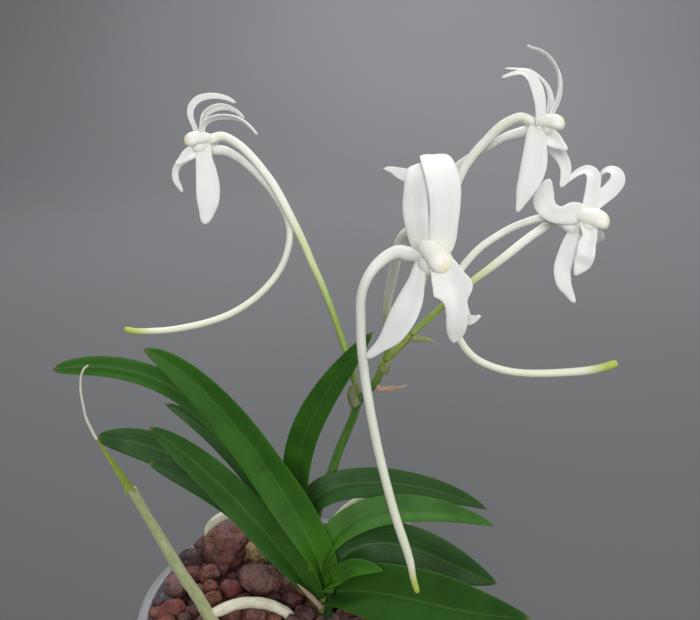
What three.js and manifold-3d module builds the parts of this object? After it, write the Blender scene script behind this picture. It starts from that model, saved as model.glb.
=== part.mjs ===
// Wind orchid (Vanda falcata) growing in lava pebbles in a small translucent nursery pot.
// Millimetres, +Z up, origin at the middle of the pot's underside, on the surface it stands on.
// +X points to the flowers' side of the plant and -Y to its front.
//
// Every stem, root, leaf and petal is a smooth body lofted along a curve; the spurs, the pebble
// bed and the side shoot are joined or cut solids.

import * as THREE from 'three';
import { mergeVertices } from 'three/addons/utils/BufferGeometryUtils.js';
import Module from 'manifold-3d';

const wasm = await Module();
wasm.setup();

// ---------------------------------------------------------------- driving dimensions

const touchGap = 0.3; // clearance kept where one piece rests on another

const pot = {
  height: 70,
  footRadius: 22.5,
  shoulderRadius: 28.8,
  rimRadius: 30,
  lipHeight: 4,
  lipRounding: 0.6,
  wall: 1.3,
  floor: 2,
  drainRadius: 2.2,
  drainRing: 15,
  drains: 6,
};

// The clump of stems grows right of and behind the pot's axis. The stones on top, the stems,
// roots, leaves and flowers are all placed from this point.
const clump = [6, 4, 0];

const bed = {
  padRadius: 9, // the middle of the bed stands on the pot's floor
  underside: 5, // clear height over the drainage holes
  shoulder: 67.6, // where the pebbles meet the wall
  crown: 70.5, // height of the mound under the loose top stones
  looseStones: 40,
  stoneRadius: [2.4, 4.2],
};

// Larger stones that lie loose on the mound: middle, half sizes.
const stones = {
  stone_brown: { middle: [-20.4, 9.4, 74], half: [4.7, 4.4, 5], colour: 0x7c5650, seed: 3 },
  stone_pink: { middle: [-11.4, -1.4, 73.8], half: [4.4, 3.4, 3.5], colour: 0x8d6468, seed: 8 },
  stone_tan: { middle: [-12.4, 7, 74.6], half: [3.4, 2.7, 2.1], colour: 0xa98256, seed: 5 },
};

const stemRadius = 1.8;
const stems = {
  front_stem: { foot: [2, -5.6, 60], top: [2, -5.2, 76] },
  back_stem: { foot: [0, 3, 60], top: [0, 3, 77] },
};

// Leaves: four Bezier points from the clasping base to the tip, full width, how much narrower the
// outer half gets, fold angle, how blunt the tip is, and the way the open side of the folded blade
// looks past its base.
const leafThickness = 0.8;
const leaves = {
  leaf_left_front_upper: {
    spine: [[0.9, -7.2, 77.4], [0.1, -4.9, 90], [-17.1, -4.5, 122.1], [-29.4, -5, 127.1]],
    width: 8.4,
    narrowing: 0.14,
    fold: 30,
    blunt: 0.5,
    looks: [-0.2, -0.85, 0.5],
    colour: 0x2f7a26,
  },
  leaf_left_back_upper: {
    spine: [[-2.4, 3.2, 78.6], [-13.9, 7.2, 96.6], [-22.6, 9, 121.8], [-49.8, 3.8, 119]],
    width: 5.6,
    narrowing: 0.05,
    fold: 36,
    blunt: 1,
    looks: [0.1, -0.8, 0.6],
    colour: 0x235f22,
  },
  leaf_left_back_middle: {
    spine: [[-3, 4.4, 74.3], [-8.6, 6.2, 88.1], [-17.9, 9.9, 100.2], [-31.2, 11.4, 107.9]],
    width: 6.2,
    narrowing: 0.1,
    fold: 30,
    blunt: 0.4,
    looks: [0.3, -0.4, 0.9],
    colour: 0x1c4a20,
  },
  leaf_left_back_lower: {
    spine: [[-3.3, 2, 72.5], [-13.5, 5.4, 85.7], [-25.5, 8.6, 101.1], [-44, 5.5, 103.3]],
    width: 7.2,
    narrowing: 0,
    fold: 20,
    blunt: 0.7,
    looks: [0.1, -0.85, 0.5],
    colour: 0x27602a,
  },
  leaf_left_front_middle: {
    spine: [[0.3, -7.3, 74.1], [-7.7, -6.3, 88.5], [-17.4, -6.5, 102.2], [-28.3, -9.7, 114.2]],
    width: 7.6,
    narrowing: 0.12,
    fold: 30,
    blunt: 0.4,
    looks: [0.4, -0.8, 0.6],
    colour: 0x245c28,
  },
  leaf_left_front_lower: {
    spine: [[-0.9, -5.1, 74.2], [-10.9, -5.5, 84.5], [-16.8, -5.6, 98.6], [-30.3, -5.8, 104.5]],
    width: 6.6,
    narrowing: 0,
    fold: 30,
    blunt: 0.6,
    looks: [0.3, -0.6, 0.75],
    colour: 0x1b4820,
  },
  leaf_upright: {
    spine: [[-0.2, 2, 78], [-6.5, 3.1, 100.7], [-2.1, -1.8, 111.4], [11, -4, 130]],
    width: 6.6,
    narrowing: 0.1,
    fold: 28,
    blunt: 0.3,
    looks: [-0.3, -1, 0.2],
    colour: 0x2c7224,
  },
  leaf_right_back: {
    spine: [[1, 4.8, 78.2], [-8.7, 2, 102.5], [25.5, 8.5, 91.3], [35.7, 5.6, 86.1]],
    width: 6.6,
    narrowing: 0,
    fold: 24,
    blunt: 0,
    looks: [-0.2, -0.75, 0.65],
    colour: 0x256526,
  },
  leaf_right_upper: {
    spine: [[2.9, -5.9, 80.2], [3.6, -2.1, 95.5], [24.8, -1.6, 92.5], [34.9, -4.8, 89.8]],
    width: 6.8,
    narrowing: 0.12,
    fold: 30,
    blunt: 0,
    looks: [-0.2, -0.6, 0.8],
    colour: 0x3c8f28,
  },
  leaf_right_middle: {
    spine: [[4.4, -6, 78], [9.9, 1.4, 90.3], [25.4, -6.9, 82.2], [35.4, -9, 79.7]],
    width: 9.4,
    narrowing: 0,
    fold: 20,
    blunt: 0,
    looks: [-0.1, -0.9, 0.45],
    colour: 0x1d5026,
  },
  leaf_right_lower: {
    spine: [[5, -7.8, 76], [16.3, -14.5, 83.6], [21.6, -29.2, 90.5], [33.9, -36.7, 97.1]],
    width: 11,
    narrowing: 0,
    fold: 20,
    blunt: 0,
    looks: [-0.3, -0.6, 0.75],
    colour: 0x215a2c,
  },
};

const sideShoot = {
  foot: [2.2, -9.3, 63],
  top: [3, -9.8, 78.4],
  radius: 0.95,
  leaf: [[3, -9.8, 77], [4.4, -10.6, 85.7], [9.1, -13.4, 87.9], [13, -15.5, 88]],
  leafWidth: 3.8,
};

// Thin dry pieces: base, two handles and tip, then width.
const dryPieces = {
  dry_sheath: {
    spine: [[0.9, -9, 73.2], [0, -10.2, 76], [-1.2, -11, 79], [-3, -11.4, 81.6]],
    width: 1.5,
  },
  bract_sheath: {
    spine: [[7.8, -0.2, 113], [7.3, -0.9, 114.6], [7.5, -1.5, 116.4], [8.1, -1.9, 118.2]],
    width: 2,
  },
  bract_dry: {
    spine: [[11.7, -2.9, 118.3], [13.3, -3.8, 118.3], [15, -4.4, 118.5], [17.2, -4.6, 119.8]],
    width: 1.7,
  },
  bract_node: {
    spine: [[13, -3.6, 121.6], [13.6, -4.1, 122.7], [14.2, -4.1, 123.7], [14.4, -3.9, 124.6]],
    width: 1.8,
  },
  bract_tip: {
    spine: [[18.2, -3.6, 128], [19.6, -4, 128.4], [20.9, -4.2, 128.4], [22, -4.4, 128]],
    width: 1.5,
  },
};

const flowerStem = {
  route: [
    [-0.7, 6.3, 77.7], [-0.4, 7.1, 82], [0.3, 7.6, 85.6], [1.4, 7.7, 89], [2.9, 7.5, 93.1],
    [4.4, 6.5, 98.7], [5.9, 5.4, 103.5], [7.4, 3.7, 108.3], [8.6, 1.8, 113.1], [10.2, -0.2, 116.4],
    [11.8, -1.7, 119.3], [12.8, -2.3, 122], [13.8, -2.5, 124.3], [15.5, -2.6, 126.1], [18, -2.2, 128.8],
  ],
  radius: [1.1, 0.62],
};

const pedicelRadius = [0.58, 0.78]; // near the flower stem and near the flower
const receptacleRadius = 1.1; // where the pedicel swells to carry the flower
const spurRadius = 0.6;
const tepalThickness = 0.5;
const lipThickness = 0.6;

// Flowers: the top of the ovary, the way the column looks, the swelling at the spur's end and the
// stalk's route. Each tepal and lip has the way its inner face looks at its base, then points with
// a half width, measured from the top of the ovary; then comes the route of the spur.
const flowers = {
  top: {
    middle: [38.1, -0.9, 165.3],
    looks: [0.93, -0.35, 0.1],
    swell: 0.1,
    pedicel: [
      [16.5, -2.3, 127.7], [17.5, -1.5, 130.9], [19.1, -0.7, 135.3], [20.7, 0.2, 140.8],
      [22.4, 0.9, 146.2], [24, 1.5, 151.2], [25.8, 1.7, 156.2], [26.6, 1.7, 158], [28.3, 1.5, 160.5],
      [30, 1.3, 162.5], [31.6, 1, 164.3], [33.4, 0.6, 165.6], [35.2, 0.2, 166.2],
    ],
    tepals: {
      dorsal_sepal: {
        looks: [0.93, -0.33, -0.09],
        route: [
          [1.1, 0.2, 0.5, 0.86], [1.9, 0.8, 2.1, 0.9], [2.9, 1.7, 4.1, 0.9], [3.3, 2.9, 6.2, 0.88],
          [3.1, 4.2, 8.1, 0.86], [2.1, 5.7, 9.9, 0.78], [0.8, 7, 11, 0.66], [-0.6, 7.8, 11.6, 0.44],
          [-1.3, 8.2, 12, 0.18],
        ],
      },
      left_petal: {
        looks: [-0.23, -0.97, -0.09],
        route: [
          [-0.3, -0.4, 0.2, 0.89], [-0.5, -0.6, 2, 0.97], [-0.7, -0.4, 3.6, 1.08], [-1.3, 0.1, 5.6, 1.11],
          [-2.1, 0.8, 7.1, 0.94], [-3.3, 1.4, 7.8, 0.64], [-4.8, 1.7, 7.6, 0.44], [-6.5, 1.9, 7, 0.18],
        ],
      },
      right_petal: {
        looks: [0.69, -0.67, 0.28],
        route: [
          [1, 0.8, 0.4, 0.86], [1.7, 2.2, 2, 0.92], [2, 3.5, 3.7, 0.98], [1.6, 4.6, 5.4, 0.98],
          [0.5, 5.4, 6.8, 0.88], [-1.1, 6.1, 7.9, 0.7], [-3.2, 6.4, 8.2, 0.47], [-5.1, 6.6, 8.3, 0.2],
        ],
      },
      left_lateral_sepal: {
        looks: [-0.2, -0.82, 0.54],
        route: [
          [-0.7, -0.9, -1.1, 1.54], [-1.1, -2.3, -3.3, 1.82], [-1.4, -3.6, -5.7, 2.08],
          [-2, -4.6, -7.9, 1.96], [-2.9, -5.3, -10.1, 1.49], [-3.6, -5.7, -12.1, 0.76],
          [-4.1, -6, -13.4, 0.32],
        ],
      },
      right_lateral_sepal: {
        looks: [-0.05, -0.99, -0.13],
        route: [
          [0.7, -0.4, -2.1, 1.01], [2, -0.3, -3.5, 1.11], [3.5, -0.4, -5, 1.05], [4.5, -0.8, -6.8, 0.93],
          [4.4, -1.5, -8.7, 0.75], [3.7, -2.1, -10.1, 0.32],
        ],
      },
    },
    lip: {
      looks: [-0.57, -0.77, 0.29],
      route: [
        [0.3, -0.8, -1.4, 1.07], [1.1, -1.7, -1.9, 1.35], [2.2, -2.3, -2.7, 1.17], [3.1, -2.7, -3.3, 0.7],
        [3.9, -2.9, -3.9, 0.29],
      ],
    },
    spur: [
      [35.3, 0.8, 163.6], [33.6, 1.7, 163], [32.2, 2.4, 162.2], [30.7, 3.1, 161.1], [29, 4, 159.9],
      [27.2, 5.4, 158.5], [25.7, 6.2, 157], [21, 6, 145], [18, 6, 134], [15, 5.5, 124],
    ],
  },
  right: {
    middle: [47.1, 1.1, 149.3],
    looks: [0.94, -0.3, -0.08],
    swell: 0.05,
    pedicel: [
      [18, -2.2, 128.8], [20.2, -1.9, 130.8], [23, -1.3, 133.4], [26, -0.8, 135.9], [28.7, -0.4, 138.2],
      [30.6, -0.1, 139.6], [32.8, 0.2, 141.3], [35.6, 0.7, 143.5], [38.1, 1.5, 145.3], [40.8, 2.3, 147],
      [43.4, 2.5, 148.8],
    ],
    tepals: {
      dorsal_sepal: {
        looks: [-0.22, -0.84, 0.49],
        route: [
          [1.2, 0.5, 1.2, 1.2], [1.7, 1.2, 3, 1.26], [2.2, 2.3, 4.8, 1.24], [2.5, 3.9, 6.5, 1.18],
          [1.8, 5.2, 7.2, 1.12], [0.6, 5.7, 6.7, 1.03], [-0.7, 5.6, 5.8, 0.71], [-1.9, 5.2, 4.8, 0.3],
        ],
      },
      left_petal: {
        looks: [0.3, -0.93, 0.21],
        route: [
          [-0.2, -0.1, 0.7, 1.57], [-2.2, -1.2, 1, 1.94], [-4.3, -1.9, 0.8, 1.56], [-6, -2, 1.4, 1.61],
          [-7.1, -1.5, 2.8, 1.83], [-6.8, -0.5, 4.2, 1.55], [-6.4, 0.2, 5.5, 1.06], [-5.9, 0.8, 6.5, 0.45],
        ],
      },
      right_petal: {
        looks: [0.1, -0.83, 0.56],
        route: [
          [2.5, 1.5, 2, 1.27], [4.1, 2.4, 3.1, 1.37], [5.6, 2.9, 4.3, 1.4], [6.7, 3.6, 5.7, 1.34],
          [6.7, 4.7, 6.9, 1.15], [5.7, 5.6, 7.2, 0.97], [4.8, 6, 6.5, 0.65], [4.6, 6, 5.3, 0.27],
        ],
      },
      left_lateral_sepal: {
        looks: [0.1, -0.84, 0.52],
        route: [
          [-0.6, -0.6, -1.6, 1.2], [-1.5, -1, -3.8, 1.47], [-2.7, -2.5, -6.1, 1.57],
          [-3.5, -3.7, -8.3, 1.53], [-3.3, -4.7, -10.4, 1.35], [-2.3, -5, -12.1, 0.85],
          [-1.2, -5.3, -13.9, 0.36],
        ],
      },
      right_lateral_sepal: {
        looks: [0.27, -0.85, -0.44],
        route: [
          [1.5, 0.3, -1.6, 1.21], [2.9, 1.5, -3, 1.29], [4.1, 3.1, -4.4, 1.37], [5.1, 5.2, -5.7, 1.2],
          [5.8, 7.3, -6.4, 0.74], [6, 9.1, -6.8, 0.31],
        ],
      },
    },
    lip: {
      looks: [-0.1, -0.78, 0.61],
      route: [
        [0.7, -1.2, -1.3, 1.38], [0.8, -2.8, -2.6, 1.25], [0.3, -3.5, -4.2, 1.5], [0, -4.3, -5.7, 1.56],
        [-0.4, -4.3, -7.1, 1.49], [-1.1, -4.6, -8.3, 0.87], [-1.5, -4.7, -9.1, 0.37],
      ],
    },
    spur: [
      [46.3, 1.1, 146.9], [44.8, 0.8, 147.7], [43.2, 0.5, 148.7], [41.1, 0.4, 149.3], [39.3, 0.3, 149.2],
      [37.2, -0.1, 148.7], [34.7, -0.3, 147.7], [32.2, -0.7, 146.3], [29.7, -1.3, 144.7],
      [27.7, -2.1, 142.9], [25.9, -3.2, 140.9], [24.4, -4.9, 138], [24.2, -6.7, 134.7],
      [25.1, -8.8, 131.5], [26.3, -10.1, 129.5], [27.9, -11.2, 128.1], [30.3, -12.2, 127.1],
      [33.5, -13.1, 126.5], [36.7, -13.6, 126.4], [41.6, -13.8, 126.6], [46.4, -13.9, 127.1],
      [48.8, -13.9, 127.7], [50.7, -13.9, 128.4],
    ],
  },
  front: {
    middle: [16.5, -35.5, 153.5],
    looks: [0.66, -0.66, -0.36],
    swell: 0.08,
    pedicel: [
      [13.6, -2.9, 124.2], [13.5, -4.8, 127.8], [13.2, -8.8, 132], [12.9, -12.9, 136.1],
      [12.9, -16.1, 140.4], [13.2, -19.1, 144], [13.4, -22.2, 147.5], [13.5, -24.4, 149.9],
      [13.8, -26.6, 152], [14.4, -28.7, 153.7], [15.2, -30.8, 154.6], [15.9, -33.4, 154.6],
    ],
    tepals: {
      dorsal_sepal: {
        looks: [-0.08, -0.77, 0.63],
        route: [
          [0.2, 0.8, -0.1, 0.42], [0.4, 2.4, 1.9, 0.5], [0.3, 4.1, 3.8, 0.68], [-0.3, 6.2, 6, 0.92],
          [-1.4, 7.6, 7.4, 1], [-3, 8.2, 8, 0.78], [-4.1, 8.7, 8.4, 0.48], [-5.1, 8.9, 8.5, 0.2],
        ],
      },
      left_petal: {
        looks: [-0.08, -0.97, 0.22],
        route: [
          [-0.1, 0.3, 0, 1.2], [-0.8, 0.6, 1.2, 1.25], [-1.2, 0.8, 3.1, 1.3], [-1.4, 1.5, 5, 1.42],
          [-1.4, 2.3, 6.9, 1.45], [-1.4, 3.9, 8.4, 1.3], [-1.3, 5.9, 9.2, 1.05], [-1, 7.5, 9, 0.75],
          [-0.7, 8.5, 8.2, 0.32],
        ],
      },
      right_petal: {
        looks: [-0.2, -0.98, 0.02],
        route: [
          [1.3, 0, -0.1, 1.6], [1.8, -0.1, 1.2, 1.75], [1.9, -0.1, 3.3, 1.85], [2, 0.2, 5.3, 1.95],
          [1.9, 0.9, 7.5, 2.15], [1.6, 2.7, 9.2, 2.2], [1.2, 5.2, 10.4, 1.95], [1.1, 7.8, 10.3, 1.5],
          [1.1, 9.3, 9.4, 0.95], [1.1, 10.2, 8.1, 0.4],
        ],
      },
      left_lateral_sepal: {
        looks: [-0.02, -0.89, 0.46],
        route: [
          [-0.1, 0.2, -0.6, 0.87], [-0.8, -0.6, -2.1, 0.95], [-1.3, -1.8, -3.6, 1.23],
          [-2, -2.9, -5.4, 1.53], [-3, -4, -7.3, 1.71], [-4.3, -4.5, -9.4, 1.51], [-5.8, -4.5, -11.1, 0.9],
          [-7.5, -4.2, -12.8, 0.38],
        ],
      },
      right_lateral_sepal: {
        looks: [0.09, -1, 0],
        route: [
          [3.3, 0, -3.3, 0.85], [3.9, -0.1, -5.3, 0.95], [4.3, -0.4, -6.9, 1], [4.7, -0.9, -8.2, 0.95],
          [5.2, -1.6, -8.8, 0.85], [6, -2.4, -8.5, 0.75], [6.6, -2.8, -7.7, 0.5],
        ],
      },
    },
    lip: {
      looks: [-0.3, -0.76, 0.58],
      route: [
        [1.1, -0.9, -0.7, 1.3], [2, -2.2, -2, 1.75], [2.5, -3.3, -3.1, 2.15], [3, -4.1, -4.2, 2.45],
        [3.2, -4.6, -5.2, 1.5], [3.4, -4.9, -6.6, 1.35], [3.4, -4.9, -8.4, 1.25], [3.3, -4.7, -9.7, 1],
        [3.2, -4.6, -10.6, 0.45],
      ],
    },
    spur: [
      [14.6, -34.1, 152.4], [13.3, -33.5, 152.6], [12.1, -33.5, 152.2], [10.8, -34, 151.4],
      [9.7, -34.5, 150.3], [8.9, -34.7, 148.8], [8.4, -34.6, 146.6], [8.4, -34.5, 144],
      [8.5, -34.3, 140.2], [9.1, -34.2, 134.7], [9.5, -34.3, 132.1], [10.6, -34.4, 126],
      [12, -34.6, 119.7], [13.7, -34.7, 113.1], [15.8, -34.5, 105.9], [16.5, -34.6, 102.3],
      [17.1, -34.7, 100.2],
    ],
  },
  left: {
    middle: [-18.9, 10.1, 161.4],
    looks: [-0.93, -0.33, 0.06],
    swell: 0,
    pedicel: [
      [8.6, 1.8, 113.6], [8, 1, 117.2], [7.2, 0.4, 121], [6.2, 0.5, 124.4], [5.3, 1.3, 127.1],
      [3.6, 2.6, 131.7], [1.9, 3.9, 135.9], [0.2, 5, 139.5], [-1.6, 6.3, 143.5], [-3.5, 7.5, 147.2],
      [-5.4, 8.7, 150.7], [-7, 9.6, 153.4], [-8.9, 10.3, 155.9], [-11.2, 10.8, 158.6],
      [-13.6, 11.1, 160.7], [-16, 10.8, 161.9],
    ],
    tepals: {
      dorsal_sepal: {
        looks: [0.9, -0.3, 0.3],
        route: [
          [-1.3, 0.2, 0.5, 0.58], [-2.2, 0.9, 2.3, 0.66], [-2.9, 1.7, 4, 0.71], [-2.8, 2.7, 5.5, 0.71],
          [-1.6, 3.8, 6.8, 0.67], [0.7, 4.8, 7.3, 0.55], [3.2, 5.3, 6.9, 0.43], [5, 5.4, 6, 0.18],
        ],
      },
      left_petal: {
        looks: [0.93, -0.27, 0.2],
        route: [
          [-1, 1.2, 0.9, 0.65], [-1.1, 2.5, 2.6, 0.78], [-0.7, 3.6, 4.1, 0.88], [0.9, 4.7, 5.2, 0.85],
          [2.9, 5.2, 5.4, 0.67], [5, 5.1, 4.6, 0.46], [6.5, 4.9, 3.3, 0.19],
        ],
      },
      right_petal: {
        looks: [0.86, -0.42, -0.15],
        route: [
          [-0.7, -0.1, 1.2, 0.74], [-0.3, 0, 2.8, 0.85], [1.2, -0.1, 3.8, 0.92], [3.5, -0.2, 4.2, 0.88],
          [6.1, -0.5, 3.8, 0.74], [7.9, -0.9, 2.7, 0.51], [9.5, -1.5, 1, 0.21],
        ],
      },
      left_lateral_sepal: {
        looks: [-0.14, -0.99, -0.06],
        route: [
          [-2, 0.6, -2.4, 0.6], [-3.5, 0.6, -3.5, 0.68], [-5.2, 0.3, -4.4, 0.64], [-5.9, 0, -5.9, 0.61],
          [-5.7, -0.5, -7.3, 0.57], [-5, -0.9, -8.5, 0.43], [-4.6, -1.2, -9.3, 0.18],
        ],
      },
      right_lateral_sepal: {
        looks: [0.18, -0.84, 0.51],
        route: [
          [-0.2, -0.8, -1.2, 1.3], [-0.1, -1.9, -3.1, 1.53], [0.4, -3.2, -5.3, 1.89],
          [0.7, -4.3, -7.8, 2.12], [0.7, -5.2, -10.2, 1.94], [0.4, -5.8, -12.3, 1.29],
          [0, -6.3, -14, 0.54],
        ],
      },
    },
    lip: {
      looks: [0.45, -0.86, 0.25],
      route: [
        [-0.8, -0.7, -1.2, 1.26], [-1.9, -1.5, -1.8, 1.21], [-3.1, -2, -2.5, 1.06],
        [-4.2, -2.4, -3.4, 0.65], [-5.1, -2.7, -4, 0.27],
      ],
    },
    spur: [
      [-18, 11, 159.5], [-15.9, 12.2, 159.1], [-13.7, 12.8, 157.8], [-11.4, 12.9, 155.8],
      [-9.5, 12.8, 153.8], [-7.6, 12.5, 151.5], [-5.9, 11.9, 148.9], [-4.8, 11.2, 146.7],
      [-4.3, 10.3, 144.4], [-4.5, 9.3, 142], [-5.3, 8.3, 139.4], [-6.6, 7.4, 137.1], [-9, 6.2, 134.4],
      [-11.7, 5, 132.3], [-15.3, 3.7, 130.4], [-18.8, 2.5, 129.4], [-22.4, 1.5, 128.8],
      [-25.9, 0.6, 128.5], [-29.3, -0.3, 128.6], [-31.8, -0.8, 128.8], [-33.6, -1, 129.3],
    ],
  },
};

// Angle of each floral part round the column, seen from the front, 0 at the flower's right, and how
// far from the flower stem's middle line the flower's stalk starts.
const floralPlan = {
  top: {
    dorsal_sepal: 70,
    left_petal: 122,
    right_petal: 6,
    left_lateral_sepal: 205,
    right_lateral_sepal: 300,
    lip: 250,
    clear: 1.25,
  },
  right: {
    dorsal_sepal: 85,
    left_petal: 150,
    right_petal: 25,
    left_lateral_sepal: 198,
    right_lateral_sepal: 320,
    lip: 270,
    clear: 0.35,
  },
  front: {
    dorsal_sepal: 60,
    left_petal: 130,
    right_petal: 90,
    left_lateral_sepal: 222,
    right_lateral_sepal: 312,
    lip: 268,
    clear: 1.25,
  },
  left: {
    dorsal_sepal: 112,
    left_petal: 178,
    right_petal: 65,
    left_lateral_sepal: 235,
    right_lateral_sepal: 322,
    lip: 280,
    clear: 1.4,
  },
};
const floralRing = { radius: 1.75, lift: 0.62, lipDrop: 2.6, lipAhead: 0.75, reach: 2.3 };

const aerialRoot = {
  arm: [
    [-15.6, -15.9, 67.5], [-17.1, -14.9, 71.2], [-18.9, -13.8, 74.8], [-20.3, -13, 76.6],
    [-21.5, -12.1, 78.5], [-24.2, -10.6, 81.9], [-26.6, -9.1, 85.2], [-29, -7.4, 88.5],
    [-30.9, -6.1, 91.2], [-32.6, -5, 93.6], [-35, -3.3, 97.1],
  ],
  armRadius: [1.25, 0.95],
  arch: [
    [-2.4, -9.2, 65.9], [-3.3, -8.7, 68.7], [-4.9, -8.5, 71.3], [-6.6, -8.7, 73.1], [-8.8, -9.2, 74.7],
    [-11.5, -9.8, 75.8], [-14, -10.7, 76.4], [-16.1, -11.7, 76.5], [-18.1, -12.6, 76.2],
    [-20.1, -13.2, 75.9],
  ],
  archRadius: [1, 1.1],
  strip: [
    [-34.7, -3.4, 96.7], [-35.2, -3.1, 97.5], [-36.1, -2.6, 98.9], [-37.5, -1.9, 100.5],
    [-39, -1.1, 102.4], [-40.4, -0.4, 104.1], [-42.1, 0.4, 106.4],
  ],
  stripRadius: [0.9, 0.35],
  core: [
    [-41.8, 0.3, 105.9], [-42.1, 0.3, 106.6], [-42.7, 0.3, 108.4], [-43.3, 0.3, 110.6],
    [-43.5, 0.3, 113.1], [-43.7, 0.5, 115.3], [-43.7, 0.8, 117.3], [-43.4, 1, 119.1], [-42.8, 1.1, 120.4],
    [-41.9, 1.2, 121.2],
  ],
  coreRadius: [0.36, 0.25],
};

const roots = {
  root_right: [
    [1.2, 6.4, 67], [1.3, 6.3, 72], [2.7, 7.9, 77.8], [4.4, 9.1, 81.2], [6.6, 9.9, 83.3],
    [9.4, 10.5, 84.9], [12.6, 10.8, 85.8], [15.9, 10.7, 85.5], [18.5, 10.3, 82.4], [18.4, 8.8, 77],
    [17.2, 7, 72.3], [16.3, 6.2, 67.5],
  ],
  root_left: [
    [-22.9, 12.9, 67], [-24.2, 14, 70.8], [-25.2, 15.7, 73.3], [-23.8, 16.1, 75.3], [-21.6, 16.1, 76.8],
    [-18.8, 15.9, 77.9], [-15.6, 15.5, 78.2], [-12.7, 14.1, 77.3], [-10.3, 11.4, 74.4], [-9, 9.8, 71],
    [-8.4, 8.9, 67.5],
  ],
};
const rootRadius = [1.1, 1.2];

// ---------------------------------------------------------------- curves and lofts

const vector = (values) => new THREE.Vector3(...values);
const bezier = (points) => new THREE.CubicBezierCurve3(...points.map(vector));
const spline = (points) => new THREE.CatmullRomCurve3(points.map(vector), false, 'centripetal');
const mix = THREE.MathUtils.lerp;
const ease = THREE.MathUtils.smoothstep;

/** Turns a geometry's faces round if they look inwards. */
function facingOut(geometry) {
  const place = geometry.getAttribute('position');
  const corner = (k) => new THREE.Vector3().fromBufferAttribute(place, geometry.index.getX(k));
  let volume = 0;
  for (let k = 0; k < geometry.index.count; k += 3) {
    volume += corner(k).dot(corner(k + 1).cross(corner(k + 2)));
  }
  if (volume < 0) {
    geometry.setIndex([...geometry.index.array].reverse());
  }
  return geometry;
}

/** Closed body through a row of equal rings; each end is closed straight across its ring. */
function loft(rings) {
  const around = rings[0].length;
  const faces = [];
  const quad = (a, b, c, d) => faces.push(a, b, c, a, c, d);
  for (let row = 0; row + 1 < rings.length; row += 1) {
    for (let k = 0; k < around; k += 1) {
      const next = (k + 1) % around;
      quad(row * around + k, row * around + next, (row + 1) * around + next, (row + 1) * around + k);
    }
  }
  const last = (rings.length - 1) * around;
  for (let k = 0; k + 1 < around / 2; k += 1) {
    const across = around - 1 - k;
    quad(k + 1, k, across, across - 1);
    quad(last + k, last + k + 1, last + across - 1, last + across);
  }
  const geometry = new THREE.BufferGeometry().setFromPoints(rings.flat());
  geometry.setIndex(faces);
  return facingOut(geometry);
}

/** Round stalk along a curve; radiusAt gives its radius for a share of the length. */
function stalk(curve, radiusAt, sides, steps) {
  const frames = curve.computeFrenetFrames(steps);
  const rings = [];
  for (let step = 0; step <= steps; step += 1) {
    const share = step / steps;
    const middle = curve.getPointAt(share);
    const ring = [];
    for (let side = 0; side < sides; side += 1) {
      const angle = (2 * Math.PI * (side + 0.5)) / sides;
      ring.push(
        middle
          .clone()
          .addScaledVector(frames.normals[step], radiusAt(share) * Math.cos(angle))
          .addScaledVector(frames.binormals[step], radiusAt(share) * Math.sin(angle)),
      );
    }
    rings.push(ring);
  }
  return loft(rings);
}

/** A vector's part at right angles to a direction, as a unit vector. */
const across = (wanted, along) => wanted.clone().addScaledVector(along, -wanted.dot(along)).normalize();

/** Normals that stay square to the curve while they turn from one wanted direction to another. */
function turningNormals(curve, steps, first, then, turnedBy) {
  const normals = [];
  for (let step = 0; step <= steps; step += 1) {
    const wanted = first.clone().lerp(then, ease(step / steps, 0, turnedBy));
    normals.push(across(wanted, curve.getTangentAt(step / steps)));
  }
  return normals;
}

/** Normals that the curve carries along without any twist, from a wanted first direction. */
function carriedNormals(curve, steps, first) {
  const normals = [across(first, curve.getTangentAt(0))];
  for (let step = 1; step <= steps; step += 1) {
    normals.push(across(normals[step - 1], curve.getTangentAt(step / steps)));
  }
  return normals;
}

/** Thin blade along a curve, folded up along its middle like a shallow V. */
function blade(curve, normals, { widthAt, foldAt, thicknessAt }) {
  const steps = normals.length - 1;
  const rings = normals.map((normal, step) => {
    const share = step / steps;
    const middle = curve.getPointAt(share);
    const sideways = normal.clone().cross(curve.getTangentAt(share));
    const fold = THREE.MathUtils.degToRad(foldAt(share));
    const half = widthAt(share) / 2;
    const thick = thicknessAt(share) / 2;
    const point = (reach, level) =>
      middle
        .clone()
        .addScaledVector(sideways, reach * half * Math.cos(fold))
        .addScaledVector(normal, Math.abs(reach) * half * Math.sin(fold) + level);
    const section = [[-1, -0.4], [0, -1], [1, -0.4], [1, 0.4], [0, 1], [-1, 0.4]];
    return section.map(([reach, level]) => point(reach, level * thick));
  });
  return loft(rings);
}

// ---------------------------------------------------------------- joining and cutting

/** The solid of a closed geometry. */
function solid(geometry) {
  const bare = geometry.clone();
  bare.deleteAttribute('normal');
  bare.deleteAttribute('uv');
  const merged = mergeVertices(bare, 1e-5);
  return new wasm.Manifold(
    new wasm.Mesh({
      numProp: 3,
      vertProperties: new Float32Array(merged.getAttribute('position').array),
      triVerts: new Uint32Array(merged.index.array),
    }),
  );
}

/** The geometry of a solid. */
function surface(body) {
  const mesh = body.getMesh();
  const geometry = new THREE.BufferGeometry();
  geometry.setAttribute('position', new THREE.BufferAttribute(new Float32Array(mesh.vertProperties), 3));
  geometry.setIndex([...mesh.triVerts]);
  return geometry;
}

const joined = (geometries) => surface(geometries.map(solid).reduce((sum, next) => sum.add(next)));

// ---------------------------------------------------------------- the object

const object = new THREE.Group();
const plant = new THREE.Group();
plant.position.set(...clump);
object.add(plant);

function addPiece(name, geometry, colour, roughness, group = plant) {
  const material = new THREE.MeshStandardMaterial({ color: colour, roughness, metalness: 0 });
  geometry.computeVertexNormals();
  const mesh = new THREE.Mesh(geometry, material);
  mesh.name = name;
  group.add(mesh);
}

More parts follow.
